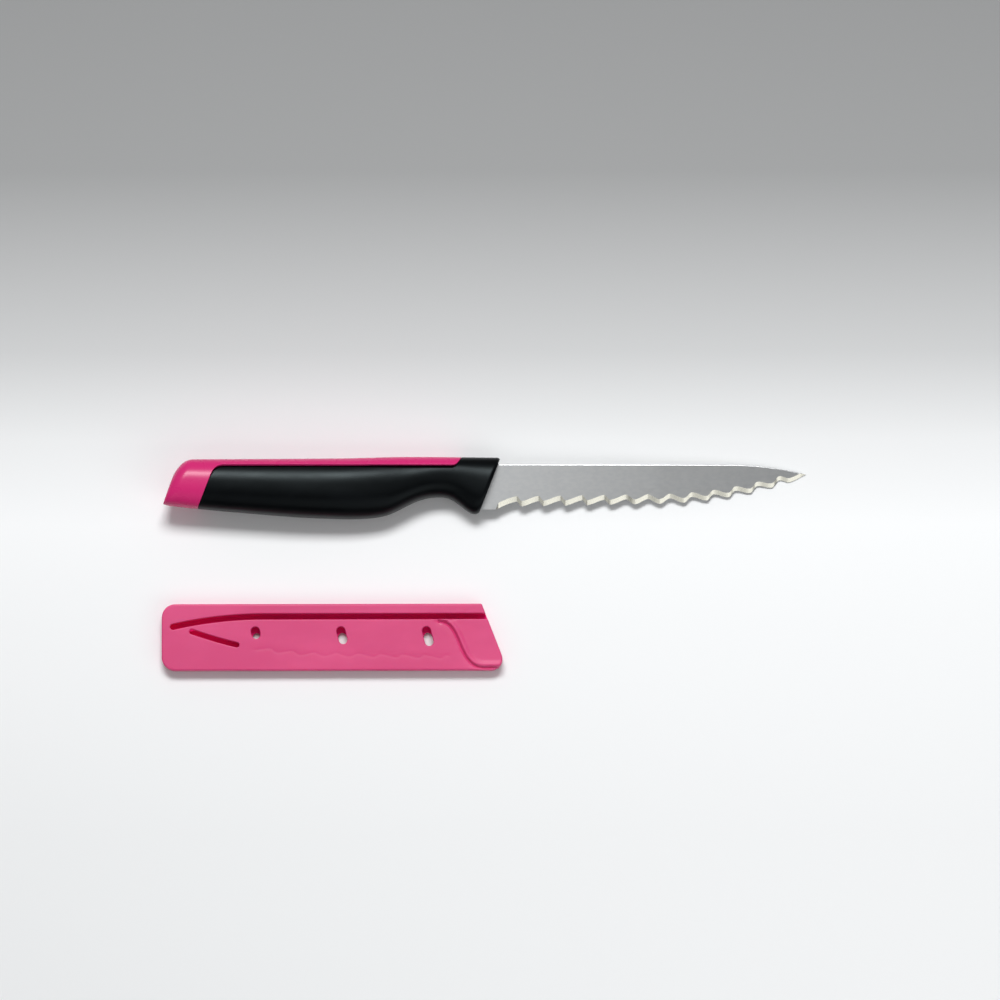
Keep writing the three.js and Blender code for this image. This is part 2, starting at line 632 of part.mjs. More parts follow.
// Thumb pad beside the mouth, bounded by a sweep from the spine slot down to the mouth's lower corner.
// Its inside starts a rim's width further along and further up.
function padOutline(rim) {
  const top = SPINE_AT - SPINE_SLOT / 2 - PAD_BELOW_SLOT;
  const foot = PAD_FOOT + rim;
  const start = MOUTH_AT - PAD_START + rim;
  const along = (share) => start + share * PAD_SWEEP;
  const shape = new THREE.Shape();
  shape.moveTo(start, top);
  shape.bezierCurveTo(along(PAD_TOP_PULL), top, along(PAD_FOOT_PULL), foot, along(1), foot);
  shape.lineTo(mouth(0) + FIT, foot);
  shape.lineTo(mouth(0) + FIT, top);
  return shape;
}

function makeBackShell() {
  const tray = sheathBlock(SHEATH_HEIGHT).intersect(slab(-FAR, SEAM));
  const rooms = [cavityOutline(), spineSlot(), tipSlot()].map((outline) => prism(outline, BACK_WALL, FAR));
  return wasm.Manifold.difference([tray, ...rooms, ...drains(DRAIN_LEDGE)]);
}

function makeFrontShell() {
  const lid = sheathBlock(SHEATH_HEIGHT).intersect(slab(SEAM, FAR));
  const above = prism(padOutline(0), SEAM, FAR, ROUND_SIDES);
  const dish = prism(padOutline(PAD_RIM), SHEATH_HEIGHT + PAD_RISE - PAD_DISH, FAR, ROUND_SIDES);
  const pad = sheathBlock(SHEATH_HEIGHT + PAD_RISE).intersect(above).subtract(dish);
  const slots = [spineSlot(), tipSlot()].map((outline) => prism(outline, 0, FAR));
  return wasm.Manifold.difference([lid.add(pad), ...slots, ...drains(0)]);
}

// Assembly

const blade = toMesh("blade", makeBlade(), STEEL);
const core = toMesh("handle_core", makeCore(), MAGENTA);
const grip = toMesh("soft_grip", makeGrip(), BLACK);
const backShell = toMesh("sheath_back_shell", makeBackShell(), PINK);
const frontShell = toMesh("sheath_front_shell", makeFrontShell(), PINK);

function lowest(mesh, tilt) {
  const turned = mesh.geometry.clone().rotateY(tilt);
  turned.computeBoundingBox();
  return turned.boundingBox.min.z;
}

// The knife lies on the belly of its handle and on the tip of its blade.
function restingTilt() {
  let low = 0;
  let high = SLANT;
  for (let i = 0; i < 40; i++) {
    const tilt = (low + high) / 2;
    if (lowest(grip, tilt) < lowest(blade, tilt)) low = tilt;
    else high = tilt;
  }
  return low;
}

const knife = new THREE.Group();
knife.add(blade, core, grip);
knife.rotation.y = restingTilt();
knife.position.z = -lowest(grip, knife.rotation.y);

const sheath = new THREE.Group();
sheath.add(backShell, frontShell);
const closedEnd = -HANDLE_LENGTH - Math.tan(BUTT_SLANT) * BUTT_DEPTH - SHEATH_PAST_BUTT;
sheath.position.set(closedEnd, -BELLY_DEPTH - SHEATH_GAP - SHEATH_WIDTH, 0);

const pair = new THREE.Group();
pair.add(knife, sheath);
const middle = new THREE.Box3().setFromObject(pair, true).getCenter(new THREE.Vector3());
pair.position.set(-middle.x, -middle.y, 0);

const part = new THREE.Group();
part.add(pair);
export default part;
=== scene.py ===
"""Looks of a serrated utility knife and its sheath: fine meshes, materials, floor, light and camera.

Shapes are worked out in millimetres in the knife's or the sheath's own frame, and placed in metres in the
row frame. The knife's x runs from the guard to the tip, y up to the blade's spine at 0, and z across the
blade. A station is a place along the handle, 0 at the guard and negative towards the butt, on a plane that
leans as the guard does. The sheath's x runs from its closed end to its mouth, and y to its spine side.
"""
import json
import math

import bmesh
import bpy
import numpy as np
from mathutils import Matrix, Vector
from mathutils.geometry import delaunay_2d_cdt


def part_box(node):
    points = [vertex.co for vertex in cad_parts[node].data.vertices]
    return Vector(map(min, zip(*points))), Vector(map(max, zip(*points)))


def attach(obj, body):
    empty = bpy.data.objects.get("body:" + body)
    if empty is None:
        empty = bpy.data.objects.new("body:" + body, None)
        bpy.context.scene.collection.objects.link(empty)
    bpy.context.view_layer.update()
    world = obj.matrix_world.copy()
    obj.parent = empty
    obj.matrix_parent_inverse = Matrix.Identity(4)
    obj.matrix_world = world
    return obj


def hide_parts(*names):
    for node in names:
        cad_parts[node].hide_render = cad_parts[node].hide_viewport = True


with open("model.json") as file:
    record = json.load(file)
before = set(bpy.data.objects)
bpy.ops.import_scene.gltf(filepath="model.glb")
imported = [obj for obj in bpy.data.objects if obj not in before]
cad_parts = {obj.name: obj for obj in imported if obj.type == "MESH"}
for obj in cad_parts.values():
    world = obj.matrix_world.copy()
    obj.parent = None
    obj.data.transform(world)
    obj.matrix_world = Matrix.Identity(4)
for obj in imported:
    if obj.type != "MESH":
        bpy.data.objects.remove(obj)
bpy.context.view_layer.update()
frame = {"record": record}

MM = 0.001
LEAN = math.tan(math.radians(21.2))  # lean of the guard, the cap's seam and the sheath's mouth
FAR = 200  # reach of cutters that run past the part

# Blade
BLADE_LENGTH = 114.9
HEEL_DEPTH = 17
EDGE_DEPTH = 15
WAIST_DEPTH = 13.7
BELLY_START = 60
TIP_DEPTH = 3.5
SPINE_DROP = 28
SPINE_THICKNESS = 1.5
HEEL_THICKNESS = 0.8
TIP_THICKNESS = 0.75
EDGE_LAND = 0.06
SPINE_ROUND = 0.3
WAVE_BEHIND = 0.9
FIRST_HOLLOW = 7
WAVE_PITCH = 8.16
WAVE_HEIGHT = 1.9
FALL_SHARE_HEEL = 0.22
FALL_SHARE_TIP = 0.7
FALL_TURN = (32, 78)  # the wave's lean changes between these places
STRAIGHT_HEEL = 0.5  # 0 gives the wave round flanks, 1 straight ones
STRAIGHT_TIP = 0.1
LAST_RUN = 8  # the last hollow lies at least this far from the tip
LAST_HOLLOW = FIRST_HOLLOW + WAVE_PITCH * math.floor((BLADE_LENGTH - LAST_RUN - FIRST_HOLLOW) / WAVE_PITCH)
LAST_FALL = 4.2
STEPS_PER_WAVE = 32
SEAT_ROWS = 12  # rows along the heel's seat, then rows across the spine, the face and the ground band
SPINE_ROWS = 5
FACE_ROWS = 6
BEVEL_ROWS = 7
BEVEL_HEEL = 2
BEVEL_TIP = 1.5
BEVEL_SHARE = 0.9
BEVEL_ANGLE = math.radians(20)
BEVEL_START_SLOPE = 1.8  # rise of the ground band's slanted start beside the heel
TANG_LENGTH = 88
TANG_DEPTH = 6.2
TANG_BELOW_SPINE = 1
TANG_END_RADIUS = 2.5
TANG_HOLE_RADIUS = 2
TANG_HOLES_AT = (-34, -66)
HEEL_SEAT = 8.6
TANG_OVERLAP = 1
MOUNT_FROM_GUARD = 40  # where the record's blade_flat mount lies on the blade
MOUNT_BELOW_SPINE = 6

# Handle
HANDLE_LENGTH = 119.4
BACK = ((-HANDLE_LENGTH, 1.5), (-60, 2), (-36, 2.62), (0, 2.45))
UNDERSIDE = (
    (-HANDLE_LENGTH, -15.6),
    (-92, -18.07),
    (-57.5, -20.4),
    (-35.5, -19.7),
    (-24.4, -13.85),
    (-18.9, -12.5),
    (-12.7, -13.15),
    (-3.1, -18.35),
    (0, -18.75),
)
FLANK = ((-HANDLE_LENGTH, 6.8), (-55, 8.4), (-17, 6.2), (0, 6))
SECTION_POWER = 2.4
BUTT_LEAN = math.tan(math.radians(19.2))
BUTT_ROUND = 5
BUTT_TOP_DROP = 7
BUTT_HEEL_LIFT = 0.5
BUTT_SIDE_DRAW = 3.2
GUARD_ROUND = 1.5
GUARD_DRAW = 0.8
GUARD_WALL = 3.6
GRIP_WALL = 2.2
BUTT_CAP = 14.1
STRIP_EDGE = 0.6
STRIP_FRONT = 15.6
STRIP_END_LEAN = math.tan(math.radians(35))
STRIP_CORNER = 3.8
STRIP_FRONT_CORNER = 1.2
SEAM_GAP = 0.15  # groove between the two mouldings, beside the cap and below the strip
STRIP_GAP = 1.1
GRIP_LEDGE = 1.5  # the grip's inside reaches this far under the strip, which closes the groove
GRIP_LIP_ROUND = 0.3
CORE_LIP_ROUND = 0.2
LIP_DEPTH = 0.9
POCKET_PLAY = 0.05  # the soft moulding hugs the blade
LIP_STEPS = (0, 0.03, 0.08, 0.15, 0.25, 0.4, 0.7)  # rows and columns crowd along a seam
LIP_REACH = 1  # the other rows start this far from the cap's seam
ROW_STEP = 0.8  # steps from row to row on the cap and the grip, the strip, its corner and its front end
STRIP_STEP = 1.2
CORNER_STEP = 0.3
FRONT_STEP = 0.1
FRONT_REACH = 2  # the closest rows lie within this distance of the strip's front end
BUTT_ROWS = 14  # rows over the roundings of the butt and the guard, and along the guard's wall
GUARD_ROWS = 9
WALL_ROWS = 5
BUTT_RINGS = (0.6, 0.2)  # rings that close the butt, as shares of its outline
CORNER_POINTS = 40  # points of the curves in the strip's lower edge
END_POINTS = 20
AT_BACK = 1e-6  # a smaller turn lies on the handle's back
RING_COLUMNS = 44  # columns from a seam round to the underside
STRIP_COLUMNS = 12  # columns from a seam up to the back

# Sheath
BLADE_PLAY = 0.4
TIP_ROOM = 6
SPINE_WALL = 4.7
EDGE_WALL = 3.1
BACK_WALL = 1.5
FRONT_WALL = 1.8
CLOSED_CORNER = 5
MOUTH_CORNER = 4.2
MOUTH_TOP_CORNER = 0.8
SLOT_MOUTH_CORNER = 0.6
RIM_ROUND = 0.6
SLOT_ROUND = 0.35
SEAM_ROUND = 0.12
SPINE_SLOT = 2.2
SPINE_SLOT_PAST_TIP = 1.8
SPINE_SLOT_BEND = 34
SPINE_SLOT_DROP = 3.8
TIP_SLOT = 1.9
TIP_SLOT_START = 5.2
TIP_SLOT_END = 21.9
TIP_SLOT_BELOW = 0.75
TIP_SLOT_LIFT = 0.45  # rise of the slot's end beside the blade's tip
DRAIN_WIDTH = 3.2
DRAIN_TOP = 3.8
DRAIN_LEAN = math.radians(14)
DRAIN_LENGTHS = (4.5, 6.6, 7.4)
DRAIN_TO_END = 34.8
DRAIN_TO_MOUTH = 22.4
DRAIN_LEDGE = 2.1  # the tray's drains lie this much lower, which leaves a ledge
PAD_RISE = 0.9
PAD_START = 18
PAD_BELOW_SLOT = 0.8
PAD_SWEEP = 17
PAD_FOOT = 0.9
PAD_TOP_PULL = 0.55
PAD_FOOT_PULL = 0.385
PAD_STEP = (-0.2, 0.7)  # the pad's edge climbs between these distances from its line
PAD_GROOVE = 0.65  # depth and half width of the groove along that line
PAD_GROOVE_HALF = 0.5
PAD_DISH = 0.4
PAD_RIM = (1.3, 2.6)  # the rim falls into the dish between these distances
TRACE_DEPTH = 0.05  # shallow wave that repeats the blade's teeth on the cover
TRACE_WIDTH = 0.55
TRACE_BELOW = 0.5
TRACE_SHARE = 0.65  # height of that wave, as a share of the blade's
TRACE_FROM = 14
TRACE_TO = 86
SLOT_START = 4  # the cover's slot is drawn from this far inside the mouth
SLOT_KEPT = 5  # from here it runs straight out of the mouth
SLOT_PAST_MOUTH = 4 * SPINE_SLOT  # the tray's slot and room run out past the mouth
CAVITY_PAST_MOUTH = 2 * HEEL_DEPTH
ROUND_BLEND = 1.5  # the rim's rounding turns into the slot's over this distance
PAD_PAST_MOUTH = 4
SPINE_SLOT_POINTS = 60  # points along the slots, the drains and the pad's edge
TIP_SLOT_POINTS = 12
DRAIN_POINTS = 4
SWEEP_POINTS = 120
FOOT_POINTS = 40
TRAY_STEP = 3  # steps along the outlines of the tray, its room, the cover, its slot and its holes
CAVITY_STEP = 2
COVER_STEP = 1.5
SLOT_STEP = 0.5
HOLE_STEP = 0.8
TRACE_STEP = 0.3
# Rows of points on the cover's top, beside the pad's edge and beside the wave
PAD_OFFSETS = (-0.7, -0.3, -0.15, 0, 0.12, 0.25, 0.38, 0.5, 0.8, 1.1, 1.5, 1.9, 2.3, 2.8, 3.3)
PAD_SPACING = 0.4
TRACE_OFFSETS = (-1, -0.6, -0.3, -0.12, 0.12, 0.3, 0.6, 1)
TRACE_SPACING = 0.35
DETAIL_GAP = 0.11  # of points in one cell of this size only one is kept
SPARSE_STEP = 1.3  # grid of points on the rest of the cover, and its distance from those rows
SPARSE_GAP = 0.8
RIM_GAP = 1  # no point of the top lies closer to a rim
RIM_SAMPLE = 0.3
SHEATH_WIDTH = EDGE_WALL + HEEL_DEPTH + SPINE_WALL
SPINE_AT = SHEATH_WIDTH - SPINE_WALL
MOUTH_AT = TIP_ROOM + BLADE_LENGTH
SEAM = BACK_WALL + SPINE_THICKNESS + 2 * BLADE_PLAY
SHEATH_HEIGHT = SEAM + FRONT_WALL

# Meshes
WELD = 0.001  # closer points become one
SLIVER = 0.0005  # shorter edges are taken out
SAME_POINT = 1e-6
SHARP = 35  # edges with a larger angle, in degrees, stay sharp
BLADE_SHARP = 12
RIM_ROWS = 7  # rows over a rounded rim
RIM_LEVEL = 0.15  # a level strip inside each rim keeps the flat faces' shading flat
NO_POINTS = np.zeros((0, 2))

# Camera, from the photograph's frame of 1000 x 1000 pixels
PICTURE_SIZE = 1000
MM_PER_PIXEL = 0.3733
GUARD_PIXEL = (498, 465.7)  # where the blade's spine leaves the guard
CAMERA_ELEVATION = math.radians(85)
CAMERA_ROLL = math.radians(-0.11)
CAMERA_DISTANCE = 3
SENSOR = 36

# Floor: greys at distances behind the middle, in metres. They are painted shade: the floor darkens further
# back, where the light falls off, and the greys near the part are tuned to the light there.
PAINTED_FLOOR_SHADE = (
    (-0.1, 0.9),
    (-0.05, 0.93),
    (-0.02, 0.945),
    (0.015, 0.975),
    (0.047, 0.87),
    (0.08, 0.635),
    (0.148, 0.365),
    (0.22, 0.317),
)
FLOOR_NEAR = PAINTED_FLOOR_SHADE[0][0]
FLOOR_FAR = PAINTED_FLOOR_SHADE[-1][0]
FLOOR_TINT = (0.985, 1, 1.01)
FLOOR_HALF = 4
FLOOR_DROP = 0.05  # the floor lies this much below the part, in millimetres

# Materials and light
TINT_RANGE = (0.35, 0.65)  # the part of a noise that a colour and a roughness follow
ROUGH_RANGE = (0.3, 0.7)
CARDS = (  # name, place along x, width and power
    ("rise_card", 0.44, 0.62, 0.71),
    ("tooth_card", 0.015, 0.23, 0.145),
    ("heel_card", -0.335, 0.33, 0.15),
)
CARD_PLACE = (-0.288, 0.387)  # y and z of each card and of the place that it faces
CARD_AIM = (0, -0.02)
CARD_HEIGHT = 0.3
WORLD_GREYS = (0.12, 0.3)  # strength of the world in front of the part and behind it
WORLD_TURN = 0.8  # y of the direction in which the second is reached


# Numbers and curves


def unit(vectors):
    return vectors / np.linalg.norm(vectors, axis=-1, keepdims=True)


def smooth(value):
    """0 to 1, level at both ends."""
    t = np.clip(value, 0, 1)
    return t * t * (3 - 2 * t)


def lerp(start, end, share):
    return start + (end - start) * share


def bezier(points, count):
    """Points along a quadratic or cubic curve."""
    t = np.linspace(0, 1, count)[:, None]
    row = [np.array(p, float) for p in points]
    while len(row) > 1:
        row = [a + (b - a) * t for a, b in zip(row, row[1:])]
    return row[0]


def curve_through(pairs):
    """Smooth function through (position, value) pairs in rising order of position."""
    at, value = np.array(pairs, float).T
    low = np.maximum(np.arange(len(at)) - 1, 0)
    high = np.minimum(np.arange(len(at)) + 1, len(at) - 1)
    slope = (value[high] - value[low]) / (at[high] - at[low])

    def curve(x):
        i = np.clip(np.searchsorted(at, x, side="right") - 1, 0, len(at) - 2)
        span = at[i + 1] - at[i]
        t = np.clip((x - at[i]) / span, 0, 1)
        bend = slope[i] * span * t * (1 - t) ** 2 - slope[i + 1] * span * t * t * (1 - t)
        return value[i] + (value[i + 1] - value[i]) * t * t * (3 - 2 * t) + bend

    return curve


def levelled(points, level):
    """Points with one more coordinate, the same for all."""
    return np.column_stack([points, np.full(len(points), level)])


def nearest(points, others):
    """Distance from each point to the closest of some others."""
    found = np.full(len(points), np.inf)
    chunk = 1000
    for start in range(0, len(points), chunk):
        part = points[start : start + chunk, None] - others[None]
        found[start : start + chunk] = np.linalg.norm(part, axis=2).min(1)
    return found


# Meshes


class Shape:
    """Points and faces that grow piece by piece, with one material number for each face."""

    def __init__(self):
        self.points = []
        self.faces = []
        self.materials = []

    def add(self, points):
        """Adds points of any array shape and gives their numbers in that shape."""
        points = np.asarray(points, float)
        first = len(self.points)
        self.points.extend(points.reshape(-1, 3).tolist())
        return first + np.arange(points[..., 0].size).reshape(points.shape[:-1])

    def face(self, corners, material=0):
        self.faces.append([int(c) for c in corners])
        self.materials.append(material)

    def strip(self, first, second, closed=False):
        """Quads between two rows of numbers."""
        count = len(first)
        for i in range(count if closed else count - 1):
            j = (i + 1) % count
            self.face((first[i], first[j], second[j], second[i]))

    def grid(self, rows, closed=False):
        for first, second in zip(rows, rows[1:]):
            self.strip(first, second, closed)


def new_object(name, data):
    made = bpy.data.objects.new(name, data)
    bpy.context.scene.collection.objects.link(made)
    return made


def smooth_faces(mesh, sharp):
    """Smooth shading but for edges sharper than an angle in degrees."""
    mesh.shade_smooth()
    mesh.set_sharp_from_angle(angle=math.radians(sharp))


def to_object(name, shape, place, materials=(), sharp=SHARP):
    """A closed mesh in the row frame, welded and smooth."""
    mesh = bpy.data.meshes.new(name)
    mesh.from_pydata(shape.points, [], shape.faces)
    mesh.polygons.foreach_set("material_index", shape.materials)
    mesh.transform(place)
    made = bmesh.new()
    made.from_mesh(mesh)
    bmesh.ops.remove_doubles(made, verts=made.verts, dist=WELD * MM)
    bmesh.ops.dissolve_degenerate(made, edges=made.edges, dist=SLIVER * MM)
    bmesh.ops.recalc_face_normals(made, faces=made.faces)
    made.to_mesh(mesh)
    made.free()
    for material in materials:
        mesh.materials.append(material)
    smooth_faces(mesh, sharp)
    return new_object(name, mesh)


def loft(rings):
    """Closed shape through rings of equal point counts."""
    shape = Shape()
    rows = [shape.add(ring) for ring in rings]
    shape.grid(rows, closed=True)
    shape.face(rows[0])
    shape.face(rows[-1])
    return shape


def prism(outline, low, high):
    """Flat outline raised along z."""
    return loft([levelled(outline, z) for z in (low, high)])


def combine(piece, operation, others):
    """Joins shapes to a piece or cuts them from it, and removes them."""
    for other in others:
        change = piece.modifiers.new("combine", "BOOLEAN")
        change.operation = operation
        change.solver = "EXACT"
        change.object = other
    graph = bpy.context.evaluated_depsgraph_get()
    shaped = bpy.data.meshes.new_from_object(piece.evaluated_get(graph))
    piece.modifiers.clear()
    piece.data = shaped
    for other in others:
        bpy.data.objects.remove(other)


# Outlines


def fillet(before, corner, after, radius, steps=10):
    """Points of the arc that rounds a corner."""
    back = unit(before - corner)
    ahead = unit(after - corner)
    half = math.acos(float(back @ ahead)) / 2
    centre = corner + unit(back + ahead) * radius / math.sin(half)
    start = corner + back * radius / math.tan(half) - centre
    end = corner + ahead * radius / math.tan(half) - centre
    first = math.atan2(start[1], start[0])
    turn = (math.atan2(end[1], end[0]) - first + math.pi) % (2 * math.pi) - math.pi
    angles = first + turn * np.linspace(0, 1, steps)
    return centre + radius * np.column_stack([np.cos(angles), np.sin(angles)])


def rounded(corners):
    """Closed outline through (x, y, radius) corners, plain where the radius is 0."""
    points = np.array([corner[:2] for corner in corners], float)
    out = []
    for i, (_, _, radius) in enumerate(corners):
        if radius:
            out.extend(fillet(points[i - 1], points[i], points[(i + 1) % len(points)], radius))
        else:
            out.append(points[i])
    return np.array(out)


def slot_outline(line, width, steps=12):
    """Outline of even width along a line of points, with round ends, counterclockwise."""
    half = width / 2
    headings = np.gradient(line, axis=0)
    angles = np.arctan2(headings[:, 1], headings[:, 0])
    swing = np.linspace(0, math.pi, steps)

    def beside(turn):
        return line + half * np.column_stack([np.cos(angles + turn), np.sin(angles + turn)])

    def end(i, turn):
        around = angles[i] + turn + swing
        return line[i] + half * np.column_stack([np.cos(around), np.sin(around)])

    right = -math.pi / 2
    return np.vstack([end(0, -right), beside(right)[1:-1], end(-1, right), beside(-right)[-2:0:-1]])


def densify(ring, step):
    """Closed ring with points added along its long sides."""
    out = []
    for a, b in zip(ring, np.roll(ring, -1, 0)):
        count = max(1, math.ceil(np.linalg.norm(b - a) / step))
        out.extend(a + (b - a) * np.arange(count)[:, None] / count)
    return np.array(out)


def inset(ring, distance):
    """Closed ring moved to its left, the side its material lies on."""
    ahead = unit(np.roll(ring, -1, 0) - ring)
    left = np.column_stack([-ahead[:, 1], ahead[:, 0]])
    normal = unit(left + np.roll(left, 1, 0))
    reach = distance / np.einsum("ij,ij->i", normal, left)
    return ring + normal * reach[:, None]


def inside(points, rings):
    """Whether each point lies in the material that closed rings bound."""
    crossings = np.zeros(len(points), int)
    x, y = points.T
    for ring in rings:
        for a, b in zip(ring, np.roll(ring, -1, 0)):
            if a[1] == b[1]:
                continue
            spans = (a[1] > y) != (b[1] > y)
            crossings += spans & (x < a[0] + (b[0] - a[0]) * (y - a[1]) / (b[1] - a[1]))
    return crossings % 2 == 1


def fill(rings, extra):
    """Triangles of the material between closed rings, through extra points in it."""
    points = np.vstack([*rings, extra])
    edges = []
    first = 0
    for ring in rings:
        numbers = first + np.arange(len(ring))
        edges.extend(zip(numbers.tolist(), np.roll(numbers, -1).tolist()))
        first += len(ring)
    out = delaunay_2d_cdt([Vector(p) for p in points], edges, [], 0, SAME_POINT)
    source = [found[0] for found in out[3]]
    triangles = np.array([[source[v] for v in face] for face in out[2]])
    return triangles[inside(points[triangles].mean(1), rings)]


def plate(rings, low, low_round, height, high_rounds, extra):
    """Closed plate with rounded rims. Its underside is flat, and a function gives its top's height."""
    shape = Shape()
    turns = np.linspace(0, math.pi / 2, RIM_ROWS)
    tops = []
    bottoms = []
    for ring, high_round in zip(rings, high_rounds):
        layers = [(low_round + RIM_LEVEL, low)]
        layers += [(low_round * (1 - math.sin(t)), low + low_round * (1 - math.cos(t))) for t in turns]
        rows = [levelled(inset(ring, aside), z) for aside, z in layers]
        for t in turns:
            flat = inset(ring, high_round * (1 - math.cos(t)))
            rows.append(np.column_stack([flat, height(flat) - high_round * (1 - math.sin(t))]))
        flat = inset(ring, high_round + RIM_LEVEL)
        rows.append(np.column_stack([flat, height(flat)]))
        numbers = [shape.add(row) for row in rows]
        shape.grid(numbers, closed=True)
        bottoms.append((rows[0][:, :2], numbers[0]))
        tops.append((rows[-1][:, :2], numbers[-1]))
    for sides, points in ((bottoms, NO_POINTS), (tops, extra)):
        outlines = [flat for flat, _ in sides]
        spare = shape.add(np.column_stack([points, height(points)])) if len(points) else []
        numbers = np.concatenate([*(n for _, n in sides), spare]).astype(int)
        for triangle in fill(outlines, points):
            shape.face(numbers[triangle])
    return shape


# Blade


def edge_line(x):
    """Middle of the wave along the edge."""
    slope = math.atan((EDGE_DEPTH - WAIST_DEPTH) / BELLY_START)
    run = BLADE_LENGTH - BELLY_START
    rise = WAIST_DEPTH - TIP_DEPTH
    ahead = run * math.cos(slope) + rise * math.sin(slope)
    aside = rise * math.cos(slope) - run * math.sin(slope)
    radius = (ahead**2 + aside**2) / (2 * aside)
    along = np.maximum(x - BELLY_START, 0) + radius * math.sin(slope)
    belly = radius * math.cos(slope) - WAIST_DEPTH - np.sqrt(radius**2 - along**2)
    return np.where(x <= BELLY_START, x * math.tan(slope) - EDGE_DEPTH, belly)


def spine_line(x):
    past = np.maximum(0, x - (BLADE_LENGTH - SPINE_DROP))
    radius = (SPINE_DROP**2 + TIP_DEPTH**2) / (2 * TIP_DEPTH)
    return np.sqrt(radius**2 - past**2) - radius


def flank_down(share, straight):
    """From 1 to -1 along a flank of the wave."""
    return lerp(np.cos(math.pi * share), 1 - 2 * share, straight)


def wave(x):
    """1 at a hollow's top and -1 at a tooth, leaning more towards the tip along the blade."""
    part = ((x - FIRST_HOLLOW) / WAVE_PITCH) % 1
    turned = smooth((x - FALL_TURN[0]) / (FALL_TURN[1] - FALL_TURN[0]))
    fall = lerp(FALL_SHARE_HEEL, FALL_SHARE_TIP, turned)
    straight = lerp(STRAIGHT_HEEL, STRAIGHT_TIP, turned)
    down = flank_down(part / fall, straight)
    up = -flank_down((part - fall) / (1 - fall), straight)
    regular = np.where(part < fall, down, up)
    past = x - LAST_HOLLOW
    to_tip = -np.cos(math.pi / 2 * (past - LAST_FALL) / (BLADE_LENGTH - LAST_HOLLOW - LAST_FALL))
    last = np.where(past < LAST_FALL, flank_down(past / LAST_FALL, STRAIGHT_TIP), to_tip)
    return np.where(x < LAST_HOLLOW, regular, last)


def cutting_edge(x):
    half = WAVE_HEIGHT / 2
    share = np.clip((x + WAVE_BEHIND) / (FIRST_HOLLOW + WAVE_BEHIND), 0, 1)
    rise = lerp(np.sin(math.pi / 2 * share), share, STRAIGHT_HEEL)
    start = lerp(-HEEL_DEPTH, edge_line(FIRST_HOLLOW) + half, rise)
    return np.where(x < FIRST_HOLLOW, start, edge_line(x) + half * wave(x))


def half_thickness(x, y):
    thinned = np.clip((x - BELLY_START) / (BLADE_LENGTH - BELLY_START), 0, 1)
    share = lerp(1, TIP_THICKNESS / SPINE_THICKNESS, thinned)
    return share * (SPINE_THICKNESS + (SPINE_THICKNESS - HEEL_THICKNESS) * y / HEEL_DEPTH) / 2


def blade_rows():
    """Sections along the blade, and how many points of each lie before the ground band and the back."""
    step = WAVE_PITCH / STEPS_PER_WAVE
    wavy = np.linspace(-WAVE_BEHIND, BLADE_LENGTH, math.ceil((BLADE_LENGTH + WAVE_BEHIND) / step))
    x = np.concatenate([np.linspace(-HEEL_SEAT, -WAVE_BEHIND - step, SEAT_ROWS), wavy])
    edge = cutting_edge(x)
    spine = np.maximum(spine_line(x), edge + 2 * EDGE_LAND)
    depth = spine - edge
    full = np.minimum(lerp(BEVEL_HEEL, BEVEL_TIP, x / BLADE_LENGTH), BEVEL_SHARE * depth)
    band = np.clip(BEVEL_START_SLOPE * (x + WAVE_BEHIND), EDGE_LAND, full)
    face = half_thickness(x, edge + band)
    ground = np.minimum(face + half_thickness(x, edge) - EDGE_LAND, band * math.tan(BEVEL_ANGLE))
    corner = np.minimum(SPINE_ROUND, (depth - band) / 2)
    front = []
    back = []
    for turn in np.linspace(0, math.pi / 2, SPINE_ROWS):
        y = spine - corner * (1 - math.cos(turn))
        z = half_thickness(x, spine) - corner * (1 - math.sin(turn))
        front.append((y, z))
        back.append((y, -z))
    for share in np.linspace(0, 1, FACE_ROWS)[1:]:
        y = lerp(spine - corner, edge + band, share)
        front.append((y, half_thickness(x, y)))
    before = len(front)
    for share in np.linspace(0, 1, BEVEL_ROWS)[1:]:
        front.append((edge + band * (1 - share), face - share * ground))
    for share in np.linspace(0, 1, FACE_ROWS)[1:]:
        y = lerp(spine - corner, edge, share)
        back.append((y, -half_thickness(x, y)))
    section = front + back[::-1]
    rows = np.stack([np.column_stack([x, y, z]) for y, z in section], 1)
    return rows, before, len(front)


def tang_outline():
    top = -TANG_BELOW_SPINE
    bottom = top - TANG_DEPTH
    front = TANG_OVERLAP - HEEL_SEAT
    return rounded(
        [
            (-TANG_LENGTH, bottom, TANG_END_RADIUS),
            (front, bottom, 0),
            (front, top, 0),
            (-TANG_LENGTH, top, TANG_END_RADIUS),
        ]
    )


def circle(x, y, radius, sides=32):
    angles = np.linspace(0, 2 * math.pi, sides, endpoint=False)
    return np.column_stack([x + radius * np.cos(angles), y + radius * np.sin(angles)])


def make_blade(place, satin, ground):
    rows, before, edge = blade_rows()
    shape = Shape()
    numbers = shape.add(rows)
    sides = numbers.shape[1]
    for row, first, second in zip(rows, numbers, numbers[1:]):
        sharpened = row[0, 0] >= -WAVE_BEHIND
        for i in range(sides):
            j = (i + 1) % sides
            material = int(sharpened and before - 1 <= i < edge - 1)
            shape.face((first[i], first[j], second[j], second[i]), material)
    shape.face(numbers[0])
    shape.face(numbers[-1])
    blade = to_object("serrated_blade", shape, place, (satin, ground), BLADE_SHARP)
    half = SPINE_THICKNESS / 2
    tang = to_object("tang", prism(tang_outline(), -half, half), place)
    middle = -TANG_BELOW_SPINE - TANG_DEPTH / 2
    rounds = [circle(x, middle, TANG_HOLE_RADIUS) for x in TANG_HOLES_AT]
    holes = [to_object("hole", prism(outline, -FAR, FAR), place) for outline in rounds]
    combine(tang, "DIFFERENCE", holes)
    combine(blade, "UNION", [tang])
    smooth_faces(blade.data, BLADE_SHARP)
    return blade


# Handle

back_line = curve_through(BACK)
underside = curve_through(UNDERSIDE)
flank = curve_through(FLANK)


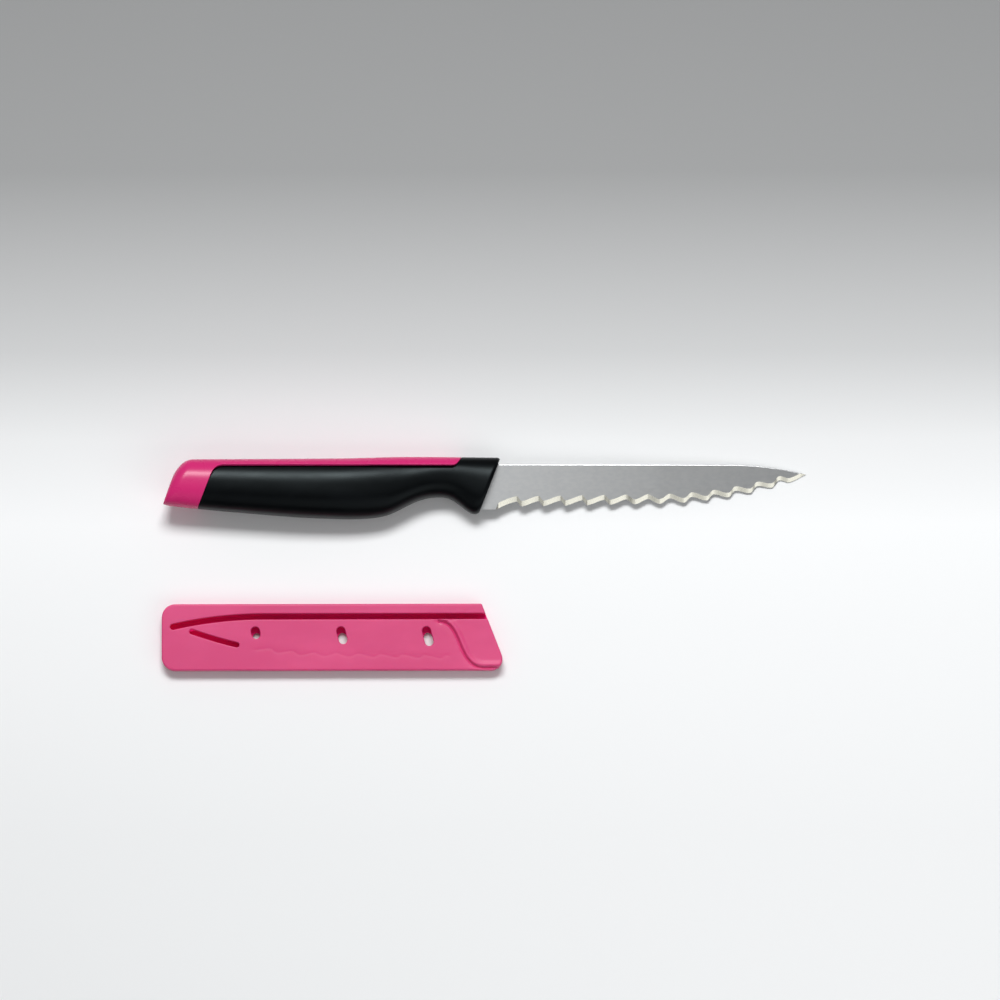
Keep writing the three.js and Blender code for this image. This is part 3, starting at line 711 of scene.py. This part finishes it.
def end_turn(to_end, length):
    """How far a quarter-round end has turned in, from 0 where it starts to 1 at the end."""
    share = np.clip(1 - to_end / length, 0, 1)
    return 1 - np.sqrt(1 - share**2)


def section(station):
    """Top, bottom and half thickness of the handle's outside."""
    butt = end_turn(station + HANDLE_LENGTH, BUTT_ROUND)
    guard = GUARD_DRAW * end_turn(-station, GUARD_ROUND)
    top = back_line(station) - butt * BUTT_TOP_DROP - guard
    bottom = underside(station) + butt * BUTT_HEEL_LIFT + guard
    half = flank(station) - butt * BUTT_SIDE_DRAW - guard
    return top, bottom, half


def squared(value):
    return np.sign(value) * np.abs(value) ** (2 / SECTION_POWER)


def lean_at(station):
    """Lean of a station's plane: the guard's, and the butt's own at the end of its cap."""
    return lerp(BUTT_LEAN, LEAN, smooth((station + HANDLE_LENGTH) / BUTT_CAP))


def outside(station, turn):
    """Points of the handle's outside; the turn is 0 at the back and pi at the underside."""
    top, bottom, half = section(station)
    y = (top + bottom) / 2 + (top - bottom) / 2 * squared(np.cos(turn))
    z = half * squared(np.sin(turn))
    return np.stack(np.broadcast_arrays(station + lean_at(station) * y, y, z), -1)


def outward(station, turn):
    """Unit normals of that outside."""
    small = 0.01
    along = outside(station + small, turn) - outside(station - small, turn)
    around = outside(station, turn + small) - outside(station, turn - small)
    return unit(np.cross(around, along))


def turn_at(station, y):
    """The turn at which the outside reaches a height, on the front side."""
    top, bottom, _ = section(station)
    value = np.clip((2 * y - top - bottom) / (top - bottom), -1, 1)
    return np.arccos(np.sign(value) * np.abs(value) ** (SECTION_POWER / 2))


def seam_height(station, aside, below):
    """Height of the strip's lower edge, curving up at its front end, or of a line aside and below it."""
    cap = BUTT_CAP - HANDLE_LENGTH + aside
    edge = -STRIP_EDGE - below
    lean = STRIP_END_LEAN - LEAN
    front = aside - STRIP_FRONT - lean * below
    rise = STRIP_FRONT_CORNER
    corner = bezier([(cap, edge - STRIP_CORNER), (cap, edge), (cap + STRIP_CORNER, edge)], CORNER_POINTS)
    end = bezier([(front - rise, edge), (front, edge), (front + lean * rise, edge + rise)], END_POINTS)
    line = np.vstack([corner, end, [(front + lean * FAR, edge + FAR)]])
    return np.interp(station, line[:, 0], line[:, 1])


def crowded(station, first, middle, count):
    """Turns from a seam over a middle to the other side's seam, crowded along both, for each station."""
    small = 0.05
    speed = np.linalg.norm(outside(station, first + small) - outside(station, first), axis=-1) / small
    near = first[:, None] + np.sign(middle - first)[:, None] * np.array(LIP_STEPS) / speed[:, None]
    share = np.linspace(0, 1, count + 1)[1:]
    last = near[:, -1:]
    side = np.hstack([near, last + (middle - last) * share])
    return np.hstack([side, 2 * middle - side[:, -2::-1]])


def rolled(points, normals, rim, radius):
    """Points near a rim sunk along their normals, so that the rim is round."""
    distance = np.minimum(nearest(points.reshape(-1, 3), rim), radius).reshape(points.shape[:-1])
    sink = radius - np.sqrt(np.maximum(radius**2 - (radius - distance) ** 2, 0))
    return points - normals * sink[..., None]


def pocket_ring(station, columns):
    """Blade's section through the handle on a station's plane, in step with the handle's columns."""
    half = columns // 2
    edge = 2  # columns from the middle of the pocket's narrow side to its corner
    spine = SPINE_THICKNESS / 2 + POCKET_PLAY
    heel = HEEL_THICKNESS / 2 + POCKET_PLAY
    top = POCKET_PLAY
    bottom = -HEEL_DEPTH - POCKET_PLAY
    marks = [0, edge, half - edge, half, half + edge, columns - edge, columns]
    y = np.interp(np.arange(columns + 1), marks, [top, top, bottom, bottom, bottom, top, top])
    z = np.interp(np.arange(columns + 1), marks, [0, spine, heel, 0, -heel, -spine, 0])
    return np.column_stack([station + LEAN * y, y, z])


def strip_stations(rear, front):
    """Stations from the cap's seam to past the strip's front end, closest where the strip's edge bends."""
    return np.concatenate(
        [
            rear + np.array(LIP_STEPS),
            np.arange(rear + LIP_REACH, rear + STRIP_CORNER, CORNER_STEP),
            np.arange(rear + STRIP_CORNER, front - FRONT_REACH, STRIP_STEP),
            np.arange(front - FRONT_REACH, front + FRONT_REACH, FRONT_STEP),
        ]
    )


def make_grip(place, material):
    rear = BUTT_CAP - HANDLE_LENGTH + SEAM_GAP
    strip_end = SEAM_GAP - STRIP_FRONT
    rounding = -GUARD_ROUND * (1 - np.sin(np.linspace(0, math.pi / 2, GUARD_ROWS)))
    stations = np.concatenate(
        [
            strip_stations(rear, strip_end),
            np.arange(strip_end + FRONT_REACH, -GUARD_WALL - ROW_STEP / 2, ROW_STEP),
            np.linspace(-GUARD_WALL, -GUARD_ROUND, WALL_ROWS)[:-1],
            rounding,
        ]
    )
    top = section(stations)[0]
    start = turn_at(stations, np.minimum(seam_height(stations, SEAM_GAP, STRIP_GAP), top))
    ledge = turn_at(stations, np.minimum(seam_height(stations, SEAM_GAP, -GRIP_LEDGE), top))
    turns = crowded(stations, start, math.pi, RING_COLUMNS)
    inner_turns = math.pi + (turns - math.pi) * ((math.pi - ledge) / (math.pi - start))[:, None]
    across = stations[:, None]
    points = outside(across, turns)
    normals = outward(across, turns)
    open_rows = start > AT_BACK
    rim = np.vstack([points[open_rows, 0], points[open_rows, -1], points[0]])
    skin = rolled(points, normals, rim, GRIP_LIP_ROUND)
    buried = stations <= -GUARD_WALL
    shape = Shape()
    outer = shape.add(skin)
    inner = shape.add((outside(across, inner_turns) - GRIP_WALL * outward(across, inner_turns))[buried])
    shape.grid(outer)
    shape.grid(inner)
    for i in range(len(inner) - 1):
        if open_rows[i]:
            for side in (0, -1):
                shape.face((outer[i, side], outer[i + 1, side], inner[i + 1, side], inner[i, side]))
    shape.strip(outer[0], inner[0])
    columns = turns.shape[1] - 1
    front = shape.add(pocket_ring(0, columns))
    behind = shape.add(pocket_ring(-GUARD_WALL, columns))
    shape.grid([outer[-1], front, behind, inner[-1]])
    return to_object("grip_moulding", shape, place, (material,))


def make_core(place, material):
    cap = BUTT_CAP - HANDLE_LENGTH
    strip_end = -STRIP_FRONT
    butt = -HANDLE_LENGTH + BUTT_ROUND * (1 - np.cos(np.linspace(0, math.pi / 2, BUTT_ROWS)))
    between = np.arange(BUTT_ROUND - HANDLE_LENGTH + ROW_STEP, cap - LIP_REACH, ROW_STEP)
    cap_rows = np.concatenate([butt, between, cap - np.array(LIP_STEPS)[::-1]])
    strip_rows = strip_stations(cap, strip_end)
    start = turn_at(strip_rows, np.minimum(seam_height(strip_rows, 0, 0), section(strip_rows)[0]))
    last = int(np.argmax(start < AT_BACK))
    strip_rows = strip_rows[: last + 1]
    start = start[: last + 1]
    cap_start = np.full(len(cap_rows), start[0])
    # The cap below the strip's edge and above it, then the strip
    parts = [
        (cap_rows[:, None], crowded(cap_rows, cap_start, math.pi, RING_COLUMNS)),
        (cap_rows[:, None], crowded(cap_rows, cap_start, 0, STRIP_COLUMNS)),
        (strip_rows[:, None], crowded(strip_rows, start, 0, STRIP_COLUMNS)),
    ]
    points = [outside(*part) for part in parts]
    normals = [outward(*part) for part in parts]
    cap_points, top_points, strip_points = points
    cap_normals, _, strip_normals = normals
    rim = np.vstack([cap_points[-1], strip_points[:, 0], strip_points[:, -1]])
    shape = Shape()
    skins = [shape.add(rolled(p, n, rim, CORE_LIP_ROUND)) for p, n in zip(points, normals)]
    for skin in skins:
        shape.grid(skin)
    cap_skin, _, strip_skin = skins
    cap_lip = shape.add(cap_points[-1] - LIP_DEPTH * cap_normals[-1])
    shape.strip(cap_skin[-1], cap_lip)
    shape.face(cap_lip)
    front_lip = shape.add(strip_points[:, 0] - LIP_DEPTH * strip_normals[:, 0])
    back_lip = shape.add(strip_points[:, -1] - LIP_DEPTH * strip_normals[:, -1])
    shape.grid([strip_skin[:, 0], front_lip, back_lip, strip_skin[:, -1]])
    ring = np.vstack([cap_points[0], top_points[0][::-1][1:-1]])
    numbers = shape.add(ring)
    for share in BUTT_RINGS:
        inner = shape.add(ring.mean(0) + (ring - ring.mean(0)) * share)
        shape.strip(numbers, inner, closed=True)
        numbers = inner
    shape.face(numbers)
    return to_object("core_moulding", shape, place, (material,))


# Sheath


def mouth(y):
    return MOUTH_AT + LEAN * (SPINE_AT - y)


def sheathed(x, y):
    """A point of the sheathed blade, which points to the closed end."""
    return np.column_stack([MOUTH_AT - x, SPINE_AT + y])


def sheath_outline():
    return rounded(
        [
            (0, 0, CLOSED_CORNER),
            (mouth(0), 0, MOUTH_CORNER),
            (mouth(SHEATH_WIDTH), SHEATH_WIDTH, MOUTH_TOP_CORNER),
            (0, SHEATH_WIDTH, CLOSED_CORNER),
        ]
    )


def spine_slot(start):
    """Outline of the slot along the blade's spine, from a place on the sheathed blade to past its tip."""
    end = BLADE_LENGTH + SPINE_SLOT_PAST_TIP
    x = np.linspace(start, end, SPINE_SLOT_POINTS)
    radius = (SPINE_SLOT_BEND**2 + SPINE_SLOT_DROP**2) / (2 * SPINE_SLOT_DROP)
    past = np.maximum(0, x - end + SPINE_SLOT_BEND)
    return slot_outline(sheathed(x, np.sqrt(radius**2 - past**2) - radius), SPINE_SLOT)


def cover_outline():
    """The sheath's outline with the spine slot cut in from the mouth, and the rim's rounding along it."""
    slot = spine_slot(SLOT_START)
    closed_end = slot[:, 0].argmin()
    slot = np.roll(slot, -closed_end, 0)
    mouth_end = slot[:, 0].argmax()
    low_side = slot[1:mouth_end][::-1]
    high_side = slot[mouth_end:][::-1]
    keep = MOUTH_AT - SLOT_KEPT
    low_side = low_side[low_side[:, 0] < keep]
    high_side = high_side[high_side[:, 0] < keep]
    below = SPINE_AT - SPINE_SLOT / 2
    above = SPINE_AT + SPINE_SLOT / 2
    corners = [(0, 0, CLOSED_CORNER), (mouth(0), 0, MOUTH_CORNER), (mouth(below), below, SLOT_MOUTH_CORNER)]
    corners += [(px, py, 0) for px, py in low_side]
    corners += [(slot[0, 0], slot[0, 1], 0)]
    corners += [(px, py, 0) for px, py in high_side]
    corners += [
        (mouth(above), above, SLOT_MOUTH_CORNER),
        (mouth(SHEATH_WIDTH), SHEATH_WIDTH, MOUTH_TOP_CORNER),
        (0, SHEATH_WIDTH, CLOSED_CORNER),
    ]
    ring = densify(rounded(corners), COVER_STEP)
    to_mouth = levelled(np.arange(keep, mouth(0), SLOT_STEP), SPINE_AT)
    from_slot = nearest(ring, np.vstack([densify(slot, SLOT_STEP), to_mouth])) - SPINE_SLOT / 2
    return ring, lerp(SLOT_ROUND, RIM_ROUND, smooth(from_slot / ROUND_BLEND))


def tip_slot():
    x = np.linspace(BLADE_LENGTH - TIP_SLOT_END, BLADE_LENGTH - TIP_SLOT_START, TIP_SLOT_POINTS)
    y = edge_line(x) - TIP_SLOT_BELOW + np.linspace(0, TIP_SLOT_LIFT, len(x))
    return slot_outline(sheathed(x, y), TIP_SLOT)


def drains(lower=0):
    gap = (MOUTH_AT - DRAIN_TO_MOUTH - DRAIN_TO_END) / (len(DRAIN_LENGTHS) - 1)
    down = np.array([math.sin(DRAIN_LEAN), -math.cos(DRAIN_LEAN)])
    outlines = []
    for i, length in enumerate(DRAIN_LENGTHS):
        top = np.array([DRAIN_TO_END + i * gap, SPINE_AT - DRAIN_TOP - DRAIN_WIDTH / 2])
        along = np.linspace(0, length - DRAIN_WIDTH, DRAIN_POINTS)[:, None]
        line = top + down * lower + down * along
        outlines.append(slot_outline(line, DRAIN_WIDTH))
    return outlines


def pad_edge():
    """The pad's edge: a sweep from the spine slot to the foot, then straight on past the mouth."""
    top = SPINE_AT - SPINE_SLOT / 2 - PAD_BELOW_SLOT
    start = MOUTH_AT - PAD_START
    handles = [(start + PAD_TOP_PULL * PAD_SWEEP, top), (start + PAD_FOOT_PULL * PAD_SWEEP, PAD_FOOT)]
    sweep = bezier([(start, top), *handles, (start + PAD_SWEEP, PAD_FOOT)], SWEEP_POINTS)
    past = np.linspace(start + PAD_SWEEP, mouth(0) + PAD_PAST_MOUTH, FOOT_POINTS)[1:]
    return np.vstack([sweep, levelled(past, PAD_FOOT)])


def tooth_trace():
    x = np.arange(TRACE_FROM, TRACE_TO, TRACE_STEP)
    return sheathed(x, edge_line(x) + TRACE_SHARE * WAVE_HEIGHT / 2 * wave(x) - TRACE_BELOW)


def cover_height(points):
    """Height of the cover's top: level, with the thumb pad's rim and dish, and the shallow wave."""
    edge = pad_edge()
    pad = np.vstack([edge, [(mouth(0) + PAD_PAST_MOUTH, SPINE_AT)], [(edge[0, 0], SPINE_AT)]])
    distance = nearest(points, edge) * np.where(inside(points, [pad]), 1, -1)
    rise = PAD_RISE * smooth((distance - PAD_STEP[0]) / (PAD_STEP[1] - PAD_STEP[0]))
    groove = PAD_GROOVE * np.exp(-((distance / PAD_GROOVE_HALF) ** 2))
    dish = PAD_DISH * smooth((distance - PAD_RIM[0]) / (PAD_RIM[1] - PAD_RIM[0]))
    trace = TRACE_DEPTH * np.exp(-((nearest(points, tooth_trace()) / TRACE_WIDTH) ** 2))
    return SHEATH_HEIGHT + rise - groove - dish - trace


def beside(line, offsets, spacing):
    """Points along an open line at offsets to its left."""
    length = np.concatenate([[0], np.cumsum(np.linalg.norm(np.diff(line, axis=0), axis=1))])
    at = np.arange(0, length[-1], spacing)
    path = np.column_stack([np.interp(at, length, line[:, i]) for i in range(2)])
    ahead = unit(np.gradient(path, axis=0))
    left = np.column_stack([-ahead[:, 1], ahead[:, 0]])
    return np.vstack([path + left * offset for offset in offsets])


def thin(points, gap):
    """Points without those that crowd earlier ones."""
    kept = {}
    for p in points:
        kept.setdefault((round(p[0] / gap), round(p[1] / gap)), p)
    return np.array(list(kept.values()))


def cover_points(rings):
    """Points for the cover's top inside its rims: close along the pad's edge and the wave, else sparse."""
    pad = beside(pad_edge(), PAD_OFFSETS, PAD_SPACING)
    trace = beside(tooth_trace()[::-1], TRACE_OFFSETS, TRACE_SPACING)
    detail = thin(np.vstack([pad, trace]), DETAIL_GAP)
    x, y = np.meshgrid(*(np.arange(RIM_GAP, end, SPARSE_STEP) for end in (mouth(0), SHEATH_WIDTH)))
    sparse = np.column_stack([x.ravel(), y.ravel()])
    sparse = sparse[nearest(sparse, detail) > SPARSE_GAP]
    points = np.vstack([detail, sparse])
    points = points[inside(points, rings)]
    rims = np.vstack([densify(ring, RIM_SAMPLE) for ring in rings])
    return points[nearest(points, rims) > RIM_GAP]


def make_cover(place, material):
    outer, outer_round = cover_outline()
    holes = [densify(outline, HOLE_STEP)[::-1] for outline in [tip_slot(), *drains()]]
    rings = [outer, *holes]
    rounds = [outer_round, *(np.full(len(hole), SLOT_ROUND) for hole in holes)]
    shape = plate(rings, SEAM, SEAM_ROUND, cover_height, rounds, cover_points(rings))
    return to_object("sheath_cover", shape, place, (material,))


def cavity_outline():
    x = np.concatenate([[-CAVITY_PAST_MOUTH], np.arange(0, BLADE_LENGTH, CAVITY_STEP), [BLADE_LENGTH]])
    spine = sheathed(x, spine_line(x) + BLADE_PLAY)
    tip = sheathed(np.array([BLADE_LENGTH + BLADE_PLAY]), np.array([-TIP_DEPTH]))
    depth = np.minimum(edge_line(x) - WAVE_HEIGHT / 2, np.where(x < FIRST_HOLLOW, -HEEL_DEPTH, 0))
    edge = sheathed(x, depth - BLADE_PLAY)
    return np.vstack([spine, tip, edge[::-1]])


def tray_height(points):
    return np.full(len(points), SEAM)


def make_tray(place, material, inner):
    ring = densify(sheath_outline(), TRAY_STEP)
    rounds = [np.full(len(ring), SEAM_ROUND)]
    shape = plate([ring], 0, RIM_ROUND, tray_height, rounds, NO_POINTS)
    tray = to_object("sheath_tray", shape, place, (material, inner))
    outlines = (cavity_outline(), spine_slot(-SLOT_PAST_MOUTH), tip_slot())
    rooms = [prism(outline, BACK_WALL, FAR) for outline in outlines]
    # the walls of the rooms take the tray's second material, the pink painted a deeper red for the light
    # inside the sheath
    for room in rooms:
        room.materials = [1] * len(room.faces)
    holes = [prism(outline, -FAR, FAR) for outline in drains(DRAIN_LEDGE)]
    cutters = [to_object("cutter", cutter, place, (material, inner)) for cutter in rooms + holes]
    combine(tray, "DIFFERENCE", cutters)
    smooth_faces(tray.data, SHARP)
    return tray


# Materials


def node(owner, kind, inputs=None, **settings):
    """A node of a material or world, with settings, and inputs as values or other nodes' sockets."""
    made = owner.node_tree.nodes.new(kind)
    for name, value in settings.items():
        setattr(made, name, value)
    for name, value in (inputs or {}).items():
        if isinstance(value, bpy.types.NodeSocket):
            owner.node_tree.links.new(value, made.inputs[name])
        else:
            made.inputs[name].default_value = value
    return made


class Look:
    """A material under way: its shader, and noise nodes that drive it."""

    def __init__(self, name, **inputs):
        self.material = bpy.data.materials.new(name)
        self.material.use_nodes = True
        self.shader = self.material.node_tree.nodes["Principled BSDF"]
        for socket, value in inputs.items():
            self.shader.inputs[socket.replace("_", " ")].default_value = value

    def grain(self, scale, detail=3):
        """Noise over the piece's own coordinates, with a scale per metre along each axis."""
        place = node(self.material, "ShaderNodeTexCoord").outputs["Object"]
        stretched = node(self.material, "ShaderNodeMapping", {"Vector": place, "Scale": scale})
        inputs = {"Vector": stretched.outputs["Vector"], "Scale": 1, "Detail": detail}
        return node(self.material, "ShaderNodeTexNoise", inputs).outputs["Fac"]

    def feed(self, value, socket):
        self.material.node_tree.links.new(value, self.shader.inputs[socket])

    def tint(self, noise, low, high):
        """Base colour that goes from one colour to another with a noise."""
        ramp = node(self.material, "ShaderNodeValToRGB", {"Fac": noise})
        ramp.color_ramp.interpolation = "EASE"
        for stop, position, colour in zip(ramp.color_ramp.elements, TINT_RANGE, (low, high)):
            stop.position = position
            stop.color = (*colour, 1)
        self.feed(ramp.outputs["Color"], "Base Color")

    def roughen(self, noise, low, high):
        """Roughness that goes from one value to another with a noise."""
        start, end = ROUGH_RANGE
        inputs = {"Value": noise, "From Min": start, "From Max": end, "To Min": low, "To Max": high}
        spread = node(self.material, "ShaderNodeMapRange", inputs, interpolation_type="SMOOTHSTEP")
        self.feed(spread.outputs["Result"], "Roughness")

    def bump(self, noise, strength, depth):
        inputs = {"Height": noise, "Strength": strength, "Distance": depth * MM}
        self.feed(node(self.material, "ShaderNodeBump", inputs).outputs["Normal"], "Normal")


def satin_steel():
    look = Look("satin_steel", Metallic=1)
    brushed = look.grain((60, 7000, 7000), detail=4)
    look.tint(look.grain((500, 900, 900)), low=(0.505, 0.518, 0.526), high=(0.533, 0.543, 0.546))
    look.roughen(brushed, low=0.28, high=0.32)
    look.bump(brushed, strength=0.12, depth=0.01)
    return look.material


def ground_steel():
    look = Look("ground_steel", Metallic=1)
    strokes = look.grain((6000, 250, 250))
    look.tint(strokes, low=(0.7, 0.69, 0.6), high=(0.78, 0.77, 0.68))
    look.roughen(strokes, low=0.2, high=0.32)
    look.bump(strokes, strength=0.2, depth=0.008)
    return look.material


def gloss_plastic():
    look = Look("gloss_plastic", Specular_IOR_Level=0.28)
    flow = look.grain((30, 60, 60), detail=2)
    look.tint(flow, low=(0.622, 0.022, 0.163), high=(0.634, 0.0228, 0.167))
    look.roughen(look.grain((150, 150, 150), detail=2), low=0.268, high=0.28)
    return look.material


def soft_plastic():
    # the cool Specular_Tint is a painted tint on the grip's reflections, standing in for a cool light
    look = Look("soft_plastic", Specular_IOR_Level=0.135, Specular_Tint=(0.82, 0.97, 1, 1))
    rubbed = look.grain((90, 160, 160))
    look.tint(rubbed, low=(0.0005, 0.0006, 0.001), high=(0.001, 0.0012, 0.0018))
    look.roughen(rubbed, low=0.29, high=0.34)
    look.bump(look.grain((7000, 7000, 7000)), strength=0.3, depth=0.02)
    return look.material


def satin_plastic():
    look = Look(
        "satin_plastic",
        Subsurface_Weight=0.25,
        Subsurface_Radius=(1, 0.15, 0.35),
        Subsurface_Scale=2 * MM,
    )
    flow = look.grain((40, 90, 90))
    look.tint(flow, low=(0.67, 0.05, 0.195), high=(0.71, 0.058, 0.212))
    look.roughen(flow, low=0.4, high=0.48)
    look.bump(look.grain((4500, 4500, 4500)), strength=0.25, depth=0.02)
    return look.material


def painted_recess_red():
    """Inside of the sheath's tray: the pink plastic painted a deeper red, which stands in for light that
    has passed through the plastic and bounced between its walls.
    """
    look = Look("painted_recess_red", Specular_IOR_Level=0.1)
    flow = look.grain((60, 120, 120))
    look.tint(flow, low=(0.95, 0.01, 0.2), high=(0.99, 0.013, 0.225))
    look.roughen(flow, low=0.5, high=0.6)
    look.bump(look.grain((2500, 2500, 2500)), strength=0.2, depth=0.02)
    return look.material


# Studio


def floor_with_painted_shade():
    look = Look("floor_with_painted_shade", Roughness=0.9, Specular_IOR_Level=0)
    place = node(look.material, "ShaderNodeTexCoord").outputs["Object"]
    axes = node(look.material, "ShaderNodeSeparateXYZ", {"Vector": place})
    # painted shade: the floor's grey follows its distance behind the middle
    inputs = {"Value": axes.outputs["Y"], "From Min": FLOOR_NEAR, "From Max": FLOOR_FAR}
    back = node(look.material, "ShaderNodeMapRange", inputs)
    ramp = node(look.material, "ShaderNodeValToRGB", {"Fac": back.outputs["Result"]})
    for at, _ in PAINTED_FLOOR_SHADE[1:-1]:
        ramp.color_ramp.elements.new((at - FLOOR_NEAR) / (FLOOR_FAR - FLOOR_NEAR))
    for stop, (_, grey) in zip(ramp.color_ramp.elements, PAINTED_FLOOR_SHADE):
        stop.color = (*(grey * part for part in FLOOR_TINT), 1)
    look.feed(ramp.outputs["Color"], "Base Color")
    return look.material


def make_floor():
    mesh = bpy.data.meshes.new("floor")
    corners = [(x * FLOOR_HALF, y * FLOOR_HALF, 0) for x, y in ((-1, -1), (1, -1), (1, 1), (-1, 1))]
    mesh.from_pydata(corners, [], [(0, 1, 2, 3)])
    mesh.materials.append(floor_with_painted_shade())
    floor = new_object("floor", mesh)
    floor.location.z = -FLOOR_DROP * MM


def softbox(name, place, aim, size, power):
    """Soft rectangular lamp at a place, which faces another place."""
    lamp = bpy.data.lights.new(name, "AREA")
    lamp.shape = "RECTANGLE"
    lamp.size, lamp.size_y = size
    lamp.energy = power
    holder = new_object(name, lamp)
    holder.visible_camera = False
    holder.location = place
    holder.rotation_euler = (Vector(place) - Vector(aim)).to_track_quat("Z", "Y").to_euler()


def make_light():
    softbox("key", place=(-0.1, 0.8, 1.4), aim=(0, 0, 0), size=(0.75, 0.4), power=20.5)
    for name, x, width, power in CARDS:
        softbox(name, (x, *CARD_PLACE), (x, *CARD_AIM), (width, CARD_HEIGHT), power)
    softbox("face_card", place=(0.006, 0.05, 0.5), aim=(0.006, 0.05, 0), size=(0.18, 0.22), power=0.078)
    world = bpy.data.worlds.new("studio")
    world.use_nodes = True
    place = node(world, "ShaderNodeTexCoord").outputs["Generated"]
    axes = node(world, "ShaderNodeSeparateXYZ", {"Vector": place})
    front, rear = WORLD_GREYS
    inputs = {"Value": axes.outputs["Y"], "From Max": WORLD_TURN, "To Min": front, "To Max": rear}
    behind = node(world, "ShaderNodeMapRange", inputs, interpolation_type="SMOOTHSTEP")
    background = world.node_tree.nodes["Background"]
    background.inputs["Color"].default_value = (1, 1, 1, 1)
    world.node_tree.links.new(behind.outputs["Result"], background.inputs["Strength"])
    bpy.context.scene.world = world


def make_camera(guard):
    """The photograph's view: the floor below the guard falls on its pixel, at the photograph's scale."""
    middle = PICTURE_SIZE / 2
    pixel = MM_PER_PIXEL * MM
    across = (middle - GUARD_PIXEL[0]) * pixel
    along = (GUARD_PIXEL[1] - middle) * pixel / math.sin(CAMERA_ELEVATION)
    aim = Vector((guard.x + across, guard.y + along, 0))
    back = Vector((0, -math.cos(CAMERA_ELEVATION), math.sin(CAMERA_ELEVATION)))
    lens = bpy.data.cameras.new("camera")
    lens.sensor_width = SENSOR
    lens.lens = SENSOR * CAMERA_DISTANCE / (PICTURE_SIZE * pixel)
    camera = new_object("camera", lens)
    place = Matrix.Translation(aim + back * CAMERA_DISTANCE)
    turn = (-back).to_track_quat("-Z", "Y").to_matrix().to_4x4()
    camera.matrix_world = place @ turn @ Matrix.Rotation(CAMERA_ROLL, 4, "Z")
    bpy.context.scene.camera = camera


# Assembly


def knife_place():
    """From the knife's frame to the row frame, by the record's mount on the blade's face."""
    mount = next(m for m in frame["record"]["mounts"] if m["name"] == "blade_flat")
    tilt = Matrix.Rotation(math.atan2(mount["axis"][0], mount["axis"][2]), 4, "Y")
    face = half_thickness(MOUNT_FROM_GUARD, -MOUNT_BELOW_SPINE)
    point = Vector((MOUNT_FROM_GUARD, -MOUNT_BELOW_SPINE, face)) * MM
    return Matrix.Translation(Vector(mount["pos_m"]) - tilt @ point) @ tilt @ Matrix.Scale(MM, 4)


def sheath_place():
    return Matrix.Translation(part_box("sheath_back_shell")[0]) @ Matrix.Scale(MM, 4)


def dress(piece, body, cad_node):
    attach(piece, body)
    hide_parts(cad_node)


knife = knife_place()
sheath = sheath_place()
pink = satin_plastic()
dress(make_blade(knife, satin_steel(), ground_steel()), "knife", "blade")
dress(make_core(knife, gloss_plastic()), "knife", "handle_core")
dress(make_grip(knife, soft_plastic()), "knife", "soft_grip")
dress(make_tray(sheath, pink, painted_recess_red()), "sheath", "sheath_back_shell")
dress(make_cover(sheath, pink), "sheath", "sheath_front_shell")
make_floor()
make_light()
make_camera(knife.translation)
bpy.context.scene.view_settings.view_transform = "Standard"
